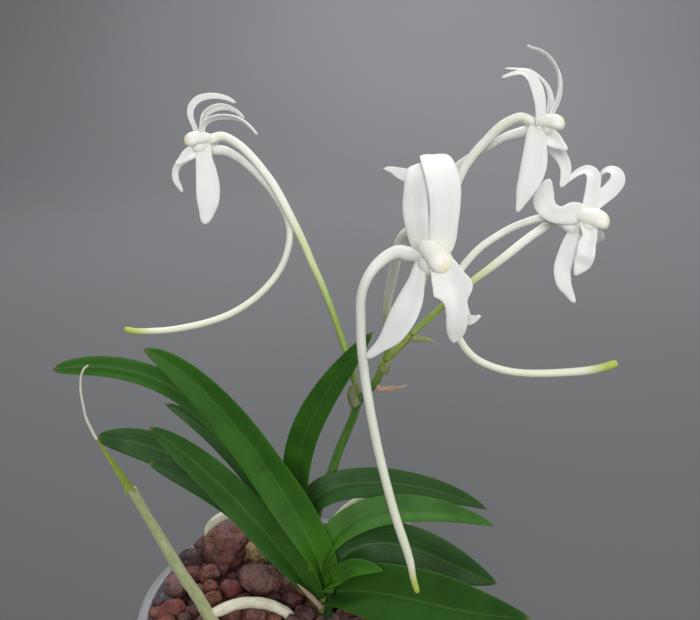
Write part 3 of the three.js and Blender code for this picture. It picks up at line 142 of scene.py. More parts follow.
# Flowers: the top of the ovary, the way the column looks, where along the stalk its green gives way
# to white, how much the spur swells near its end and how much of its width is left at the very
# end, the column's size, and the routes of the stalk and the spur. Each tepal and lip is the way
# its inner face looks at its base, then points with a half width, as offsets from the ovary's top.
FLOWERS = {
    "top": dict(
        middle=(38.1, -0.9, 165.3), looks=(0.93, -0.35, 0.1), green=0.25,
        swell=0.1, spur_end=0.9, column=1.0,
        pedicel=(
            (16.5, -2.3, 127.7), (17.5, -1.5, 130.9), (19.1, -0.7, 135.3), (20.7, 0.2, 140.8),
            (22.4, 0.9, 146.2), (24, 1.5, 151.2), (25.8, 1.7, 156.2), (26.6, 1.7, 158), (28.3, 1.5, 160.5),
            (30, 1.3, 162.5), (31.6, 1, 164.3), (33.4, 0.6, 165.6), (35.2, 0.2, 166.2),
        ),
        tepals=dict(
            dorsal_sepal=((0.93, -0.33, -0.09), (
                (1.1, 0.2, 0.5, 0.86), (1.9, 0.8, 2.1, 0.9), (2.9, 1.7, 4.1, 0.9), (3.3, 2.9, 6.2, 0.88),
                (3.1, 4.2, 8.1, 0.86), (2.1, 5.7, 9.9, 0.78), (0.8, 7, 11, 0.66), (-0.6, 7.8, 11.6, 0.44),
                (-1.3, 8.2, 12, 0.18),
            )),
            left_petal=((-0.23, -0.97, -0.09), (
                (-0.3, -0.4, 0.2, 0.89), (-0.5, -0.6, 2, 0.97), (-0.7, -0.4, 3.6, 1.08),
                (-1.3, 0.1, 5.6, 1.11), (-2.1, 0.8, 7.1, 0.94), (-3.3, 1.4, 7.8, 0.64),
                (-4.8, 1.7, 7.6, 0.44), (-6.5, 1.9, 7, 0.18),
            )),
            right_petal=((0.69, -0.67, 0.28), (
                (1, 0.8, 0.4, 0.86), (1.7, 2.2, 2, 0.92), (2, 3.5, 3.7, 0.98), (1.6, 4.6, 5.4, 0.98),
                (0.5, 5.4, 6.8, 0.88), (-1.1, 6.1, 7.9, 0.7), (-3.2, 6.4, 8.2, 0.47), (-5.1, 6.6, 8.3, 0.2),
            )),
            left_lateral_sepal=((-0.2, -0.82, 0.54), (
                (-0.7, -0.9, -1.1, 1.54), (-1.1, -2.3, -3.3, 1.82), (-1.4, -3.6, -5.7, 2.08),
                (-2, -4.6, -7.9, 1.96), (-2.9, -5.3, -10.1, 1.49), (-3.6, -5.7, -12.1, 0.76),
                (-4.1, -6, -13.4, 0.32),
            )),
            right_lateral_sepal=((-0.05, -0.99, -0.13), (
                (0.7, -0.4, -2.1, 1.01), (2, -0.3, -3.5, 1.11), (3.5, -0.4, -5, 1.05),
                (4.5, -0.8, -6.8, 0.93), (4.4, -1.5, -8.7, 0.75), (3.7, -2.1, -10.1, 0.32),
            )),
        ),
        lip=((-0.57, -0.77, 0.29), (
            (0.3, -0.8, -1.4, 1.07), (1.1, -1.7, -1.9, 1.35), (2.2, -2.3, -2.7, 1.17),
            (3.1, -2.7, -3.3, 0.7), (3.9, -2.9, -3.9, 0.29),
        )),
        spur=(
            (35.3, 0.8, 163.6), (33.6, 1.7, 163), (32.2, 2.4, 162.2), (30.7, 3.1, 161.1), (29, 4, 159.9),
            (27.2, 5.4, 158.5), (25.7, 6.2, 157), (21, 6, 145), (18, 6, 134), (15, 5.5, 124),
        ),
    ),
    "right": dict(
        middle=(47.1, 1.1, 149.3), looks=(0.94, -0.3, -0.08), green=0.4,
        swell=0.05, spur_end=1.0, column=1.25,
        pedicel=(
            (18, -2.2, 128.8), (20.2, -1.9, 130.8), (23, -1.3, 133.4), (26, -0.8, 135.9),
            (28.7, -0.4, 138.2), (30.6, -0.1, 139.6), (32.8, 0.2, 141.3), (35.6, 0.7, 143.5),
            (38.1, 1.5, 145.3), (40.8, 2.3, 147), (43.4, 2.5, 148.8),
        ),
        tepals=dict(
            dorsal_sepal=((-0.22, -0.84, 0.49), (
                (1.2, 0.5, 1.2, 1.2), (1.7, 1.2, 3, 1.26), (2.2, 2.3, 4.8, 1.24), (2.5, 3.9, 6.5, 1.18),
                (1.8, 5.2, 7.2, 1.12), (0.6, 5.7, 6.7, 1.03), (-0.7, 5.6, 5.8, 0.71), (-1.9, 5.2, 4.8, 0.3),
            )),
            right_petal=((0.1, -0.83, 0.56), (
                (2.5, 1.5, 2, 1.27), (4.1, 2.4, 3.1, 1.37), (5.6, 2.9, 4.3, 1.4), (6.7, 3.6, 5.7, 1.34),
                (6.7, 4.7, 6.9, 1.15), (5.7, 5.6, 7.2, 0.97), (4.8, 6, 6.5, 0.65), (4.6, 6, 5.3, 0.27),
            )),
            left_petal=((0.3, -0.93, 0.21), (
                (-0.2, -0.1, 0.7, 1.57), (-2.2, -1.2, 1, 1.94), (-4.3, -1.9, 0.8, 1.56),
                (-6, -2, 1.4, 1.61), (-7.1, -1.5, 2.8, 1.83), (-6.8, -0.5, 4.2, 1.55),
                (-6.4, 0.2, 5.5, 1.06), (-5.9, 0.8, 6.5, 0.45),
            )),
            left_lateral_sepal=((0.1, -0.84, 0.52), (
                (-0.6, -0.6, -1.6, 1.2), (-1.5, -1, -3.8, 1.47), (-2.7, -2.5, -6.1, 1.57),
                (-3.5, -3.7, -8.3, 1.53), (-3.3, -4.7, -10.4, 1.35), (-2.3, -5, -12.1, 0.85),
                (-1.2, -5.3, -13.9, 0.36),
            )),
            right_lateral_sepal=((0.27, -0.85, -0.44), (
                (1.5, 0.3, -1.6, 1.21), (2.9, 1.5, -3, 1.29), (4.1, 3.1, -4.4, 1.37), (5.1, 5.2, -5.7, 1.2),
                (5.8, 7.3, -6.4, 0.74), (6, 9.1, -6.8, 0.31),
            )),
        ),
        lip=((-0.1, -0.78, 0.61), (
            (0.7, -1.2, -1.3, 1.38), (0.8, -2.8, -2.6, 1.25), (0.3, -3.5, -4.2, 1.5), (0, -4.3, -5.7, 1.56),
            (-0.4, -4.3, -7.1, 1.49), (-1.1, -4.6, -8.3, 0.87), (-1.5, -4.7, -9.1, 0.37),
        )),
        spur=(
            (46.3, 1.1, 146.9), (44.8, 0.8, 147.7), (43.2, 0.5, 148.7), (41.1, 0.4, 149.3),
            (39.3, 0.3, 149.2), (37.2, -0.1, 148.7), (34.7, -0.3, 147.7), (32.2, -0.7, 146.3),
            (29.7, -1.3, 144.7), (27.7, -2.1, 142.9), (25.9, -3.2, 140.9), (24.4, -4.9, 138),
            (24.2, -6.7, 134.7), (25.1, -8.8, 131.5), (26.3, -10.1, 129.5), (27.9, -11.2, 128.1),
            (30.3, -12.2, 127.1), (33.5, -13.1, 126.5), (36.7, -13.6, 126.4), (41.6, -13.8, 126.6),
            (46.4, -13.9, 127.1), (48.8, -13.9, 127.7), (50.7, -13.9, 128.4),
        ),
    ),
    "front": dict(
        middle=(16.5, -35.5, 153.5), looks=(0.66, -0.66, -0.36), green=0.3,
        swell=0.08, spur_end=0.66, column=1.05,
        pedicel=(
            (13.6, -2.9, 124.2), (13.5, -4.8, 127.8), (13.2, -8.8, 132), (12.9, -12.9, 136.1),
            (12.9, -16.1, 140.4), (13.2, -19.1, 144), (13.4, -22.2, 147.5), (13.5, -24.4, 149.9),
            (13.8, -26.6, 152), (14.4, -28.7, 153.7), (15.2, -30.8, 154.6), (15.9, -33.4, 154.6),
        ),
        tepals=dict(
            right_petal=((-0.2, -0.98, 0.02), (
                (1.3, 0, -0.1, 1.6), (1.8, -0.1, 1.2, 1.75), (1.9, -0.1, 3.3, 1.85), (2, 0.2, 5.3, 1.95),
                (1.9, 0.9, 7.5, 2.15), (1.6, 2.7, 9.2, 2.2), (1.2, 5.2, 10.4, 1.95), (1.1, 7.8, 10.3, 1.5),
                (1.1, 9.3, 9.4, 0.95), (1.1, 10.2, 8.1, 0.4),
            )),
            left_petal=((-0.08, -0.97, 0.22), (
                (-0.1, 0.3, 0, 1.3), (-0.8, 0.6, 1.2, 1.45), (-1.2, 0.8, 3.1, 1.6), (-1.4, 1.5, 5, 1.7),
                (-1.4, 2.3, 6.9, 1.6), (-1.4, 3.9, 8.4, 1.35), (-1.3, 5.9, 9.2, 1.05), (-1, 7.5, 9, 0.75),
                (-0.7, 8.5, 8.2, 0.32),
            )),
            dorsal_sepal=((-0.08, -0.77, 0.63), (
                (0.2, 0.8, -0.1, 0.42), (0.4, 2.4, 1.9, 0.5), (0.3, 4.1, 3.8, 0.68), (-0.3, 6.2, 6, 0.92),
                (-1.4, 7.6, 7.4, 1), (-3, 8.2, 8, 0.78), (-4.1, 8.7, 8.4, 0.48), (-5.1, 8.9, 8.5, 0.2),
            )),
            left_lateral_sepal=((-0.02, -0.89, 0.46), (
                (-0.1, 0.2, -0.6, 0.87), (-0.8, -0.6, -2.1, 0.95), (-1.3, -1.8, -3.6, 1.23),
                (-2, -2.9, -5.4, 1.75), (-3, -4, -7.3, 1.95), (-4.3, -4.5, -9.4, 1.65),
                (-5.8, -4.5, -11.1, 0.9), (-7.5, -4.2, -12.8, 0.38),
            )),
            right_lateral_sepal=((0.09, -1, 0), (
                (3.3, 0, -3.3, 0.85), (3.9, -0.1, -5.3, 0.95), (4.3, -0.4, -6.9, 1),
                (4.7, -0.9, -8.2, 0.95), (5.2, -1.6, -8.8, 0.85), (6, -2.4, -8.5, 0.75),
                (6.6, -2.8, -7.7, 0.5),
            )),
        ),
        lip=((-0.3, -0.76, 0.58), (
            (1.1, -0.9, -0.7, 1.3), (2, -2.2, -2, 1.75), (2.5, -3.3, -3.1, 2.15), (3, -4.1, -4.2, 2.45),
            (3.2, -4.6, -5.2, 1.5), (3.4, -4.9, -6.6, 1.35), (3.4, -4.9, -8.4, 1.25), (3.3, -4.7, -9.7, 1),
            (3.2, -4.6, -10.6, 0.45),
        )),
        spur=(
            (14.6, -34.1, 152.4), (13.3, -33.5, 152.6), (12.1, -33.5, 152.2), (10.8, -34, 151.4),
            (9.7, -34.5, 150.3), (8.9, -34.7, 148.8), (8.4, -34.6, 146.6), (8.4, -34.5, 144),
            (8.5, -34.3, 140.2), (9.1, -34.2, 134.7), (9.5, -34.3, 132.1), (10.6, -34.4, 126),
            (12, -34.6, 119.7), (13.7, -34.7, 113.1), (15.8, -34.5, 105.9), (16.5, -34.6, 102.3),
            (17.1, -34.7, 100.2),
        ),
    ),
    "left": dict(
        middle=(-18.9, 10.1, 161.4), looks=(-0.93, -0.33, 0.06), green=0.5,
        swell=0, spur_end=0.9, column=1.0,
        pedicel=(
            (8.6, 1.8, 113.6), (8, 1, 117.2), (7.2, 0.4, 121), (6.2, 0.5, 124.4), (5.3, 1.3, 127.1),
            (3.6, 2.6, 131.7), (1.9, 3.9, 135.9), (0.2, 5, 139.5), (-1.6, 6.3, 143.5), (-3.5, 7.5, 147.2),
            (-5.4, 8.7, 150.7), (-7, 9.6, 153.4), (-8.9, 10.3, 155.9), (-11.2, 10.8, 158.6),
            (-13.6, 11.1, 160.7), (-16, 10.8, 161.9),
        ),
        tepals=dict(
            dorsal_sepal=((0.9, -0.3, 0.3), (
                (-1.3, 0.2, 0.5, 0.58), (-2.2, 0.9, 2.3, 0.66), (-2.9, 1.7, 4, 0.71),
                (-2.8, 2.7, 5.5, 0.71), (-1.6, 3.8, 6.8, 0.67), (0.7, 4.8, 7.3, 0.55),
                (3.2, 5.3, 6.9, 0.43), (5, 5.4, 6, 0.18),
            )),
            left_petal=((0.93, -0.27, 0.2), (
                (-1, 1.2, 0.9, 0.65), (-1.1, 2.5, 2.6, 0.78), (-0.7, 3.6, 4.1, 0.88), (0.9, 4.7, 5.2, 0.85),
                (2.9, 5.2, 5.4, 0.67), (5, 5.1, 4.6, 0.46), (6.5, 4.9, 3.3, 0.19),
            )),
            right_petal=((0.86, -0.42, -0.15), (
                (-0.7, -0.1, 1.2, 0.74), (-0.3, 0, 2.8, 0.85), (1.2, -0.1, 3.8, 0.92),
                (3.5, -0.2, 4.2, 0.88), (6.1, -0.5, 3.8, 0.74), (7.9, -0.9, 2.7, 0.51),
                (9.5, -1.5, 1, 0.21),
            )),
            left_lateral_sepal=((-0.14, -0.99, -0.06), (
                (-2, 0.6, -2.4, 0.6), (-3.5, 0.6, -3.5, 0.68), (-5.2, 0.3, -4.4, 0.64),
                (-5.9, 0, -5.9, 0.61), (-5.7, -0.5, -7.3, 0.57), (-5, -0.9, -8.5, 0.43),
                (-4.6, -1.2, -9.3, 0.18),
            )),
            right_lateral_sepal=((0.18, -0.84, 0.51), (
                (-0.2, -0.8, -1.2, 1.3), (-0.1, -1.9, -3.1, 1.53), (0.4, -3.2, -5.3, 1.89),
                (0.7, -4.3, -7.8, 2.12), (0.7, -5.2, -10.2, 1.94), (0.4, -5.8, -12.3, 1.29),
                (0, -6.3, -14, 0.54),
            )),
        ),
        lip=((0.45, -0.86, 0.25), (
            (-0.8, -0.7, -1.2, 1.26), (-1.9, -1.5, -1.8, 1.21), (-3.1, -2, -2.5, 1.06),
            (-4.2, -2.4, -3.4, 0.65), (-5.1, -2.7, -4, 0.27),
        )),
        spur=(
            (-18, 11, 159.5), (-15.9, 12.2, 159.1), (-13.7, 12.8, 157.8), (-11.4, 12.9, 155.8),
            (-9.5, 12.8, 153.8), (-7.6, 12.5, 151.5), (-5.9, 11.9, 148.9), (-4.8, 11.2, 146.7),
            (-4.3, 10.3, 144.4), (-4.5, 9.3, 142), (-5.3, 8.3, 139.4), (-6.6, 7.4, 137.1), (-9, 6.2, 134.4),
            (-11.7, 5, 132.3), (-15.3, 3.7, 130.4), (-18.8, 2.5, 129.4), (-22.4, 1.5, 128.8),
            (-25.9, 0.6, 128.5), (-29.3, -0.3, 128.6), (-31.8, -0.8, 128.8), (-33.6, -1, 129.3),
        ),
    ),
}
# The long root at the left: its rising arm, the arch it grows from, and what stands out of the
# arm's torn end.
AERIAL_ROOT = dict(
    arm=(
        (-15.6, -15.9, 67.5), (-17.1, -14.9, 71.2), (-18.9, -13.8, 74.8), (-20.3, -13, 76.6),
        (-21.5, -12.1, 78.5), (-24.2, -10.6, 81.9), (-26.6, -9.1, 85.2), (-29, -7.4, 88.5),
        (-30.9, -6.1, 91.2), (-32.6, -5, 93.6), (-35, -3.3, 97.1),
    ),
    arm_radius=((0, 1.25), (0.3, 1.14), (0.6, 1.08), (0.8, 0.95), (1, 0.95)),
    arch=((-2.4, -9.2, 65.9), (-3.3, -8.7, 68.7), (-4.9, -8.5, 71.3), (-6.6, -8.7, 73.1),
          (-8.8, -9.2, 74.7), (-11.5, -9.8, 75.8), (-14, -10.7, 76.4), (-16.1, -11.7, 76.5),
          (-18.1, -12.6, 76.2), (-20.1, -13.2, 75.9)),
    arch_radius=(1.0, 1.1),
    strip=(
        (-34.7, -3.4, 96.7), (-35.2, -3.1, 97.5), (-36.1, -2.6, 98.9), (-37.5, -1.9, 100.5),
        (-39, -1.1, 102.4), (-40.4, -0.4, 104.1), (-42.1, 0.4, 106.4),
    ),
    strip_width=3.3,
    core=(
        (-41.8, 0.3, 105.9), (-42.1, 0.3, 106.6), (-42.7, 0.3, 108.4), (-43.3, 0.3, 110.6),
        (-43.5, 0.3, 113.1), (-43.7, 0.5, 115.3), (-43.7, 0.8, 117.3), (-43.4, 1, 119.1),
        (-42.8, 1.1, 120.4), (-41.9, 1.2, 121.2),
    ),
    core_radius=(0.3, 0.19),
)
# Two more roots, which arch over the pebbles.
ROOTS = {
    "root_right": (
        (1.2, 6.4, 67), (1.3, 6.3, 72), (2.7, 7.9, 77.8), (4.4, 9.1, 81.2), (6.6, 9.9, 83.3),
        (9.4, 10.5, 84.9), (12.6, 10.8, 85.8), (15.9, 10.7, 85.5), (18.5, 10.3, 82.4),
        (18.4, 8.8, 77), (17.2, 7, 72.3), (16.3, 6.2, 67.5),
    ),
    "root_left": (
        (-22.9, 12.9, 67), (-24.2, 14, 70.8), (-25.2, 15.7, 73.3), (-23.8, 16.1, 75.3),
        (-21.6, 16.1, 76.8), (-18.8, 15.9, 77.9), (-15.6, 15.5, 78.2), (-12.7, 14.1, 77.3),
        (-10.3, 11.4, 74.4), (-9, 9.8, 71), (-8.4, 8.9, 67.5),
    ),
}
ROOT_RADIUS = (1.1, 1.2)  # at its two ends

# Large loose stones on top: middle and half sizes, from the clump, and colour.
NAMED_STONES = {
    "stone_brown": ((-20.4, 9.4, 74), (4.7, 4.4, 5), (0.165, 0.062, 0.048)),
    "stone_pink": ((-11.4, -1.4, 73.8), (4.4, 3.4, 3.5), (0.20, 0.10, 0.085)),
    "stone_tan": ((-12.4, 7, 74.6), (3.4, 2.7, 2.1), (0.33, 0.22, 0.10)),
}

# ------------------------------------------------------------------ small vector tools

CURVE_SAMPLES = 300  # samples of a Bezier curve before it is divided evenly
SPAN_SAMPLES = 40  # the same for each span of a spline


def unit(v):
    v = np.asarray(v, float)
    return v / np.linalg.norm(v)


def ease(x, low, high):
    t = np.clip((np.asarray(x, float) - low) / (high - low), 0, 1)
    return t * t * (3 - 2 * t)


def mix(a, b, t):
    return a + (b - a) * t


def lengths(points):
    """Distance run along the line at each of its points."""
    return np.r_[0, np.cumsum(np.linalg.norm(np.diff(points[:, :3], axis=0), axis=1))]


def even(points, steps):
    """The same line as steps + 1 points at equal distances; columns past the third ride along."""
    run = lengths(points)
    wanted = np.linspace(0, run[-1], steps + 1)
    return np.stack([np.interp(wanted, run, column) for column in points.T], 1)


def bezier(points, steps):
    a, b, c, d = (np.asarray(p, float) for p in points)
    t = np.linspace(0, 1, CURVE_SAMPLES)[:, None]
    line = (1 - t) ** 3 * a + 3 * (1 - t) ** 2 * t * b + 3 * (1 - t) * t**2 * c + t**3 * d
    return even(line, steps)


def spline(points, steps):
    """Centripetal Catmull-Rom curve through the points."""
    p = np.asarray(points, float)
    ends = np.vstack([2 * p[0] - p[1], p, 2 * p[-1] - p[-2]])
    t = np.linspace(0, 1, SPAN_SAMPLES, endpoint=False)[:, None]
    line = []
    for a, b, c, d in zip(ends, ends[1:], ends[2:], ends[3:]):
        before, within, after = (np.linalg.norm((y - x)[:3]) ** 0.5 for x, y in ((a, b), (b, c), (c, d)))
        leave = within * ((b - a) / before - (c - a) / (before + within) + (c - b) / within)
        arrive = within * ((c - b) / within - (d - b) / (within + after) + (d - c) / after)
        line.append(
            (2 * t**3 - 3 * t**2 + 1) * b + (t**3 - 2 * t**2 + t) * leave
            + (3 * t**2 - 2 * t**3) * c + (t**3 - t**2) * arrive
        )
    return even(np.vstack([*line, p[-1:]]), steps)


def shares_of(path):
    """How far along the path each of its points lies, from 0 to 1."""
    return np.linspace(0, 1, len(path))


def turns(count):
    """Angles that divide a full turn evenly."""
    return np.linspace(0, 2 * np.pi, count, endpoint=False)


def directions(path):
    d = np.gradient(path, axis=0)
    return d / np.linalg.norm(d, axis=1, keepdims=True)


def across(wanted, along):
    """The part of a direction at right angles to another, as a unit vector."""
    return unit(wanted - np.dot(wanted, along) * along)


def turning_normals(path, first, then, by):
    """Normals square to the path that turn from one wanted direction to another."""
    shares = shares_of(path)
    wanted = mix(np.asarray(first, float), np.asarray(then, float), ease(shares, 0, by)[:, None])
    return np.array([across(w, t) for w, t in zip(wanted, directions(path))])


def carried_normals(path, first):
    """Normals that the path carries along without any twist."""
    along = directions(path)
    normals = [across(np.asarray(first, float), along[0])]
    for t in along[1:]:
        normals.append(across(normals[-1], t))
    return np.array(normals)


def twisted(path, normals, degrees):
    """The same normals, each turned round the path by its own angle."""
    along = directions(path)
    angle = np.radians(degrees)[:, None]
    return normals * np.cos(angle) + np.cross(along, normals) * np.sin(angle)


def round_noise(angle, radius, height):
    """Noise at a place on an upright cylinder, so that it closes up round a stalk."""
    return noise.noise(Vector((radius * math.cos(angle), radius * math.sin(angle), height)))


# ------------------------------------------------------------------ meshes

# How finely each organ is lofted: steps along it and points round it.
STEPS = dict(
    leaf=64, shoot=20, shoot_leaf=40, stem=30, root=70, arm=90, arch=60, strip=36, thread=50, bract=26,
    flower_stem=110, pedicel=100, tepal=50, spur=120, column=26,
)
AROUND = dict(
    pot=144, drain=28, filling=64, shoot=14, stem=20, root=18, arm=22, arch=20, thread=10,
    flower_stem=18, pedicel=24, spur=14, column=22, egg=18,
)

VALLEY = 0.16  # how softly the two halves of a folded blade meet, as a share of its half width
KEEL = 0.16  # half width of the keel under a blade, measured the same way
STALK_START = (0.3, 0.5, 0.8)  # side of a stalk from which its rings are counted
BUMP_ROUND = 1.3  # how fine the bumps of a rough stalk are round it
BUMP_ALONG = 0.55  # and along it, per millimetre


def set_layer(mesh, key, values):
    """Stores a number or a colour for each point of a mesh."""
    values = np.asarray(values, np.float32)
    if values.ndim == 1:
        mesh.attributes.new(key, "FLOAT", "POINT").data.foreach_set("value", values)
    else:
        full = np.c_[values, np.ones(len(values), np.float32)].astype(np.float32)
        mesh.attributes.new(key, "FLOAT_COLOR", "POINT").data.foreach_set("color", full.ravel())


def shade_smooth(mesh):
    mesh.polygons.foreach_set("use_smooth", [True] * len(mesh.polygons))


def link(name, data):
    obj = bpy.data.objects.new(name, data)
    bpy.context.scene.collection.objects.link(obj)
    return obj


def add_mesh(name, points, faces, layers=None):
    """A mesh object from points in pot millimetres; layers are numbers or colours per point."""
    mesh = bpy.data.meshes.new(name)
    mesh.from_pydata((np.asarray(points) * MM).tolist(), [], faces)
    for key, values in (layers or {}).items():
        set_layer(mesh, key, values)
    mesh.validate()
    face_out(mesh)
    shade_smooth(mesh)
    return link(name, mesh)


def face_out(mesh):
    """Turns every face outwards."""
    work = bmesh.new()
    work.from_mesh(mesh)
    bmesh.ops.recalc_face_normals(work, faces=work.faces)
    work.to_mesh(mesh)
    work.free()


def ring_quads(rows, around, start=0):
    """Quads between neighbouring rings."""
    faces = []
    for row in range(rows - 1):
        a, b = start + row * around, start + (row + 1) * around
        for k in range(around):
            n = (k + 1) % around
            faces.append((a + k, a + n, b + n, b + k))
    return faces


def ring_faces(rows, around, start=0):
    """Quads between neighbouring rings, and one face over each end."""
    last = start + (rows - 1) * around
    return [
        *ring_quads(rows, around, start),
        tuple(range(start + around - 1, start - 1, -1)),
        tuple(range(last, last + around)),
    ]


class Body:
    """Points, faces and layers of one piece, gathered from several lofts."""

    def __init__(self, *keys):
        self.points, self.faces, self.count = [], [], 0
        self.layers = {key: [] for key in keys}

    def add(self, rings, **layers):
        rows, around = rings.shape[:2]
        self.faces += ring_faces(rows, around, self.count)
        self.points.append(rings.reshape(-1, 3))
        self.count += rows * around
        for key, stored in self.layers.items():
            value = layers.get(key, 0.0)
            stored.append(np.broadcast_to(np.asarray(value, float), (rows, around)).ravel())
        return self

    def add_stalk(self, path, radius, around, ribs=0, rib_depth=0.0, rough=0.0, seed=0.0, **layers):
        """A round stalk with its places along and round it as layers."""
        rings = tube_rings(path, radius, around, ribs, rib_depth, rough, seed)
        return self.add(rings, along=shares_of(path)[:, None], side=side_of(around), **layers)

    def add_blade(
        self, path, normals, half, fold, cup, thick, keel, count=15, ripple=None, reach=1.0, **layers
    ):
        """A thin blade with the share along it, times reach, and its other places as layers."""
        rings, side, under = blade_rings(path, normals, half, fold, cup, thick, keel, count, ripple)
        along = reach * shares_of(path)[:, None]
        return self.add(rings, along=along, side=side, under=under, **layers)

    def finish(self, name, offset=CLUMP):
        layers = {key: np.concatenate(values) for key, values in self.layers.items()}
        return add_mesh(name, np.concatenate(self.points) + offset, self.faces, layers)

    def put(self, node, slot, material):
        """Makes the piece that replaces a node of the frame."""
        return place(self.finish(f"{node}_form"), slot, material, node)


def blade_rings(path, normals, half, fold, cup, thick, keel, count, ripple):
    """Rings of a thin blade: half width, fold angle in degrees, cup, thickness and keel per step.

    Also gives the place of each point across the blade (-1 to 1), and 1 for those underneath.
    """
    along = directions(path)
    sideways = np.cross(normals, along)
    s = np.sin(np.linspace(-np.pi / 2, np.pi / 2, count))
    s = np.r_[s, s[::-1][1:-1]]
    under = np.r_[np.zeros(count), np.ones(count - 2)]
    half, fold, cup, thick, keel = (
        np.broadcast_to(np.asarray(v, float), len(path))[:, None] for v in (half, fold, cup, thick, keel)
    )
    slope = np.radians(fold)
    valley = (np.sqrt(s**2 + VALLEY**2) - VALLEY) / (np.sqrt(1 + VALLEY**2) - VALLEY)
    aside = half * np.cos(slope) * s
    height = half * (np.sin(slope) * valley + cup * s**2)
    level = thick / 2 * np.sqrt(np.maximum(1 - s**2, 0)) * np.where(under > 0, -1, 1)
    level = level - np.where(under > 0, keel * np.exp(-((s / KEEL) ** 2)), 0)
    if ripple is not None:
        height = height + ripple(shares_of(path)[:, None], s) * half
    height = (height + level)[..., None]
    return path[:, None] + sideways[:, None] * aside[..., None] + normals[:, None] * height, s, under


def tube_rings(path, radius, around, ribs=0, rib_depth=0.0, rough=0.0, seed=0.0):
    """Rings of a round stalk; ribs adds lengthwise ridges and rough an uneven surface."""
    normals = carried_normals(path, STALK_START)
    sideways = np.cross(normals, directions(path))
    turn = turns(around)
    radius = np.broadcast_to(np.asarray(radius, float), (len(path),))[:, None]
    size = radius * (1 + rib_depth * np.cos(ribs * turn))
    if rough:
        heights = BUMP_ALONG * lengths(path) + seed
        bump = np.array([[round_noise(a, BUMP_ROUND, h) for a in turn] for h in heights])
        size = size * (1 + rough * bump)
    return (
        path[:, None]
        + normals[:, None] * (size * np.cos(turn))[..., None]
        + sideways[:, None] * (size * np.sin(turn))[..., None]
    )


def side_of(around):
    """Place round a stalk as a smooth number from -1 to 1."""
    return np.sin(turns(around))[None, :]


def rounded_ends(radius, start=0, end=0):
    """Draws a row of radii in towards nothing over its first and last few steps."""
    radius = np.array(radius, float)
    if start:
        radius[:start] *= dome(start)
    if end:
        radius[-end:] *= dome(end)[::-1]
    return radius


def dome(rows):
    """Shares of the full radius that round off a tip in a few rows."""
    return np.sqrt(1 - (1 - np.arange(1, rows + 1) / (rows + 1)) ** 2)


def place(obj, slot, material, *nodes):
    obj.data.materials.append(material)
    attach(obj, "root")
    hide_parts(*nodes)
    return obj


# ------------------------------------------------------------------ materials


class Look:
    """A procedural material in the making: every call adds a node and gives its output."""

    def __init__(self, name, **constants):
        self.material = bpy.data.materials.new(name)
        self.material.use_nodes = True
        self.tree = self.material.node_tree
        self.shader = self.tree.nodes["Principled BSDF"]
        for key, value in constants.items():
            self.shader.inputs[key.replace("_", " ")].default_value = value

    def add(self, kind, output=0, inputs=(), **settings):
        node = self.tree.nodes.new(kind)
        for key, value in settings.items():
            setattr(node, key, value)
        for key, value in dict(inputs).items():
            if isinstance(value, bpy.types.NodeSocket):
                self.tree.links.new(value, node.inputs[key])
            else:
                node.inputs[key].default_value = value
        return node.outputs[output]

    def layer(self, key):
        return self.add("ShaderNodeAttribute", output="Fac", attribute_name=key)

    def colour_layer(self, key):
        return self.add("ShaderNodeAttribute", output="Color", attribute_name=key)

    def math(self, operation, a, b=0.0):
        return self.add("ShaderNodeMath", inputs={0: a, 1: b}, operation=operation)

    def times(self, a, b):
        return self.math("MULTIPLY", a, b)

    def span(self, value, low, high, to_low=0.0, to_high=1.0):
        """Takes a value from one span to another, with soft ends."""
        return self.add(
            "ShaderNodeMapRange",
            inputs={0: value, 1: low, 2: high, 3: to_low, 4: to_high},
            interpolation_type="SMOOTHSTEP",
        )

    def spot(self):
        """Place on the object, in metres."""
        return self.add("ShaderNodeTexCoord", output="Object")

    def grain(self, scale, detail=3.0, roughness=0.55, distortion=0.0, where=None):
        inputs = {
            "Vector": where or self.spot(), "Scale": scale, "Detail": detail, "Roughness": roughness,
            "Distortion": distortion,
        }
        return self.add("ShaderNodeTexNoise", inputs=inputs)

    def fibres(self, aside, along, shift, scale, detail, roughness=0.55):
        """Grain drawn out along the organ: its scales across and along, and a shift."""
        aside = self.times(self.layer("side"), aside)
        along = self.times(self.layer("along"), along)
        where = self.add("ShaderNodeCombineXYZ", inputs={0: aside, 1: along, 2: shift})
        return self.grain(scale, detail, roughness, where=where)

    def cells(self, scale):
        inputs = {"Vector": self.spot(), "Scale": scale}
        return self.add("ShaderNodeTexVoronoi", output="Distance", inputs=inputs)

    def blend(self, share, a, b):
        inputs = {0: share, 6: rgb(a), 7: rgb(b)}
        return self.add("ShaderNodeMix", output=2, inputs=inputs, data_type="RGBA", blend_type="MIX")

    def toward(self, base, value, low, high, colour, most=1.0):
        """The base colour, blended with another as a value goes from low to high."""
        return self.blend(self.span(value, low, high, 0.0, most), base, colour)

    def finish(self, colour, gloss, relief):
        """Sets the colour; gloss is a value with its span and the roughness at each end of it;
        relief is a height with its depth in metres and its strength.
        """
        height, distance, strength = relief
        inputs = {"Height": height, "Distance": distance, "Strength": strength}
        bump = self.add("ShaderNodeBump", inputs=inputs)
        sockets = {"Base Color": colour, "Roughness": self.span(*gloss), "Normal": bump}
        for key, value in sockets.items():
            self.tree.links.new(value, self.shader.inputs[key])
        return self.material


def rgb(colour):
    """A bare colour made opaque; the output of a node as it is."""
    return (*colour, 1.0) if isinstance(colour, tuple) else colour


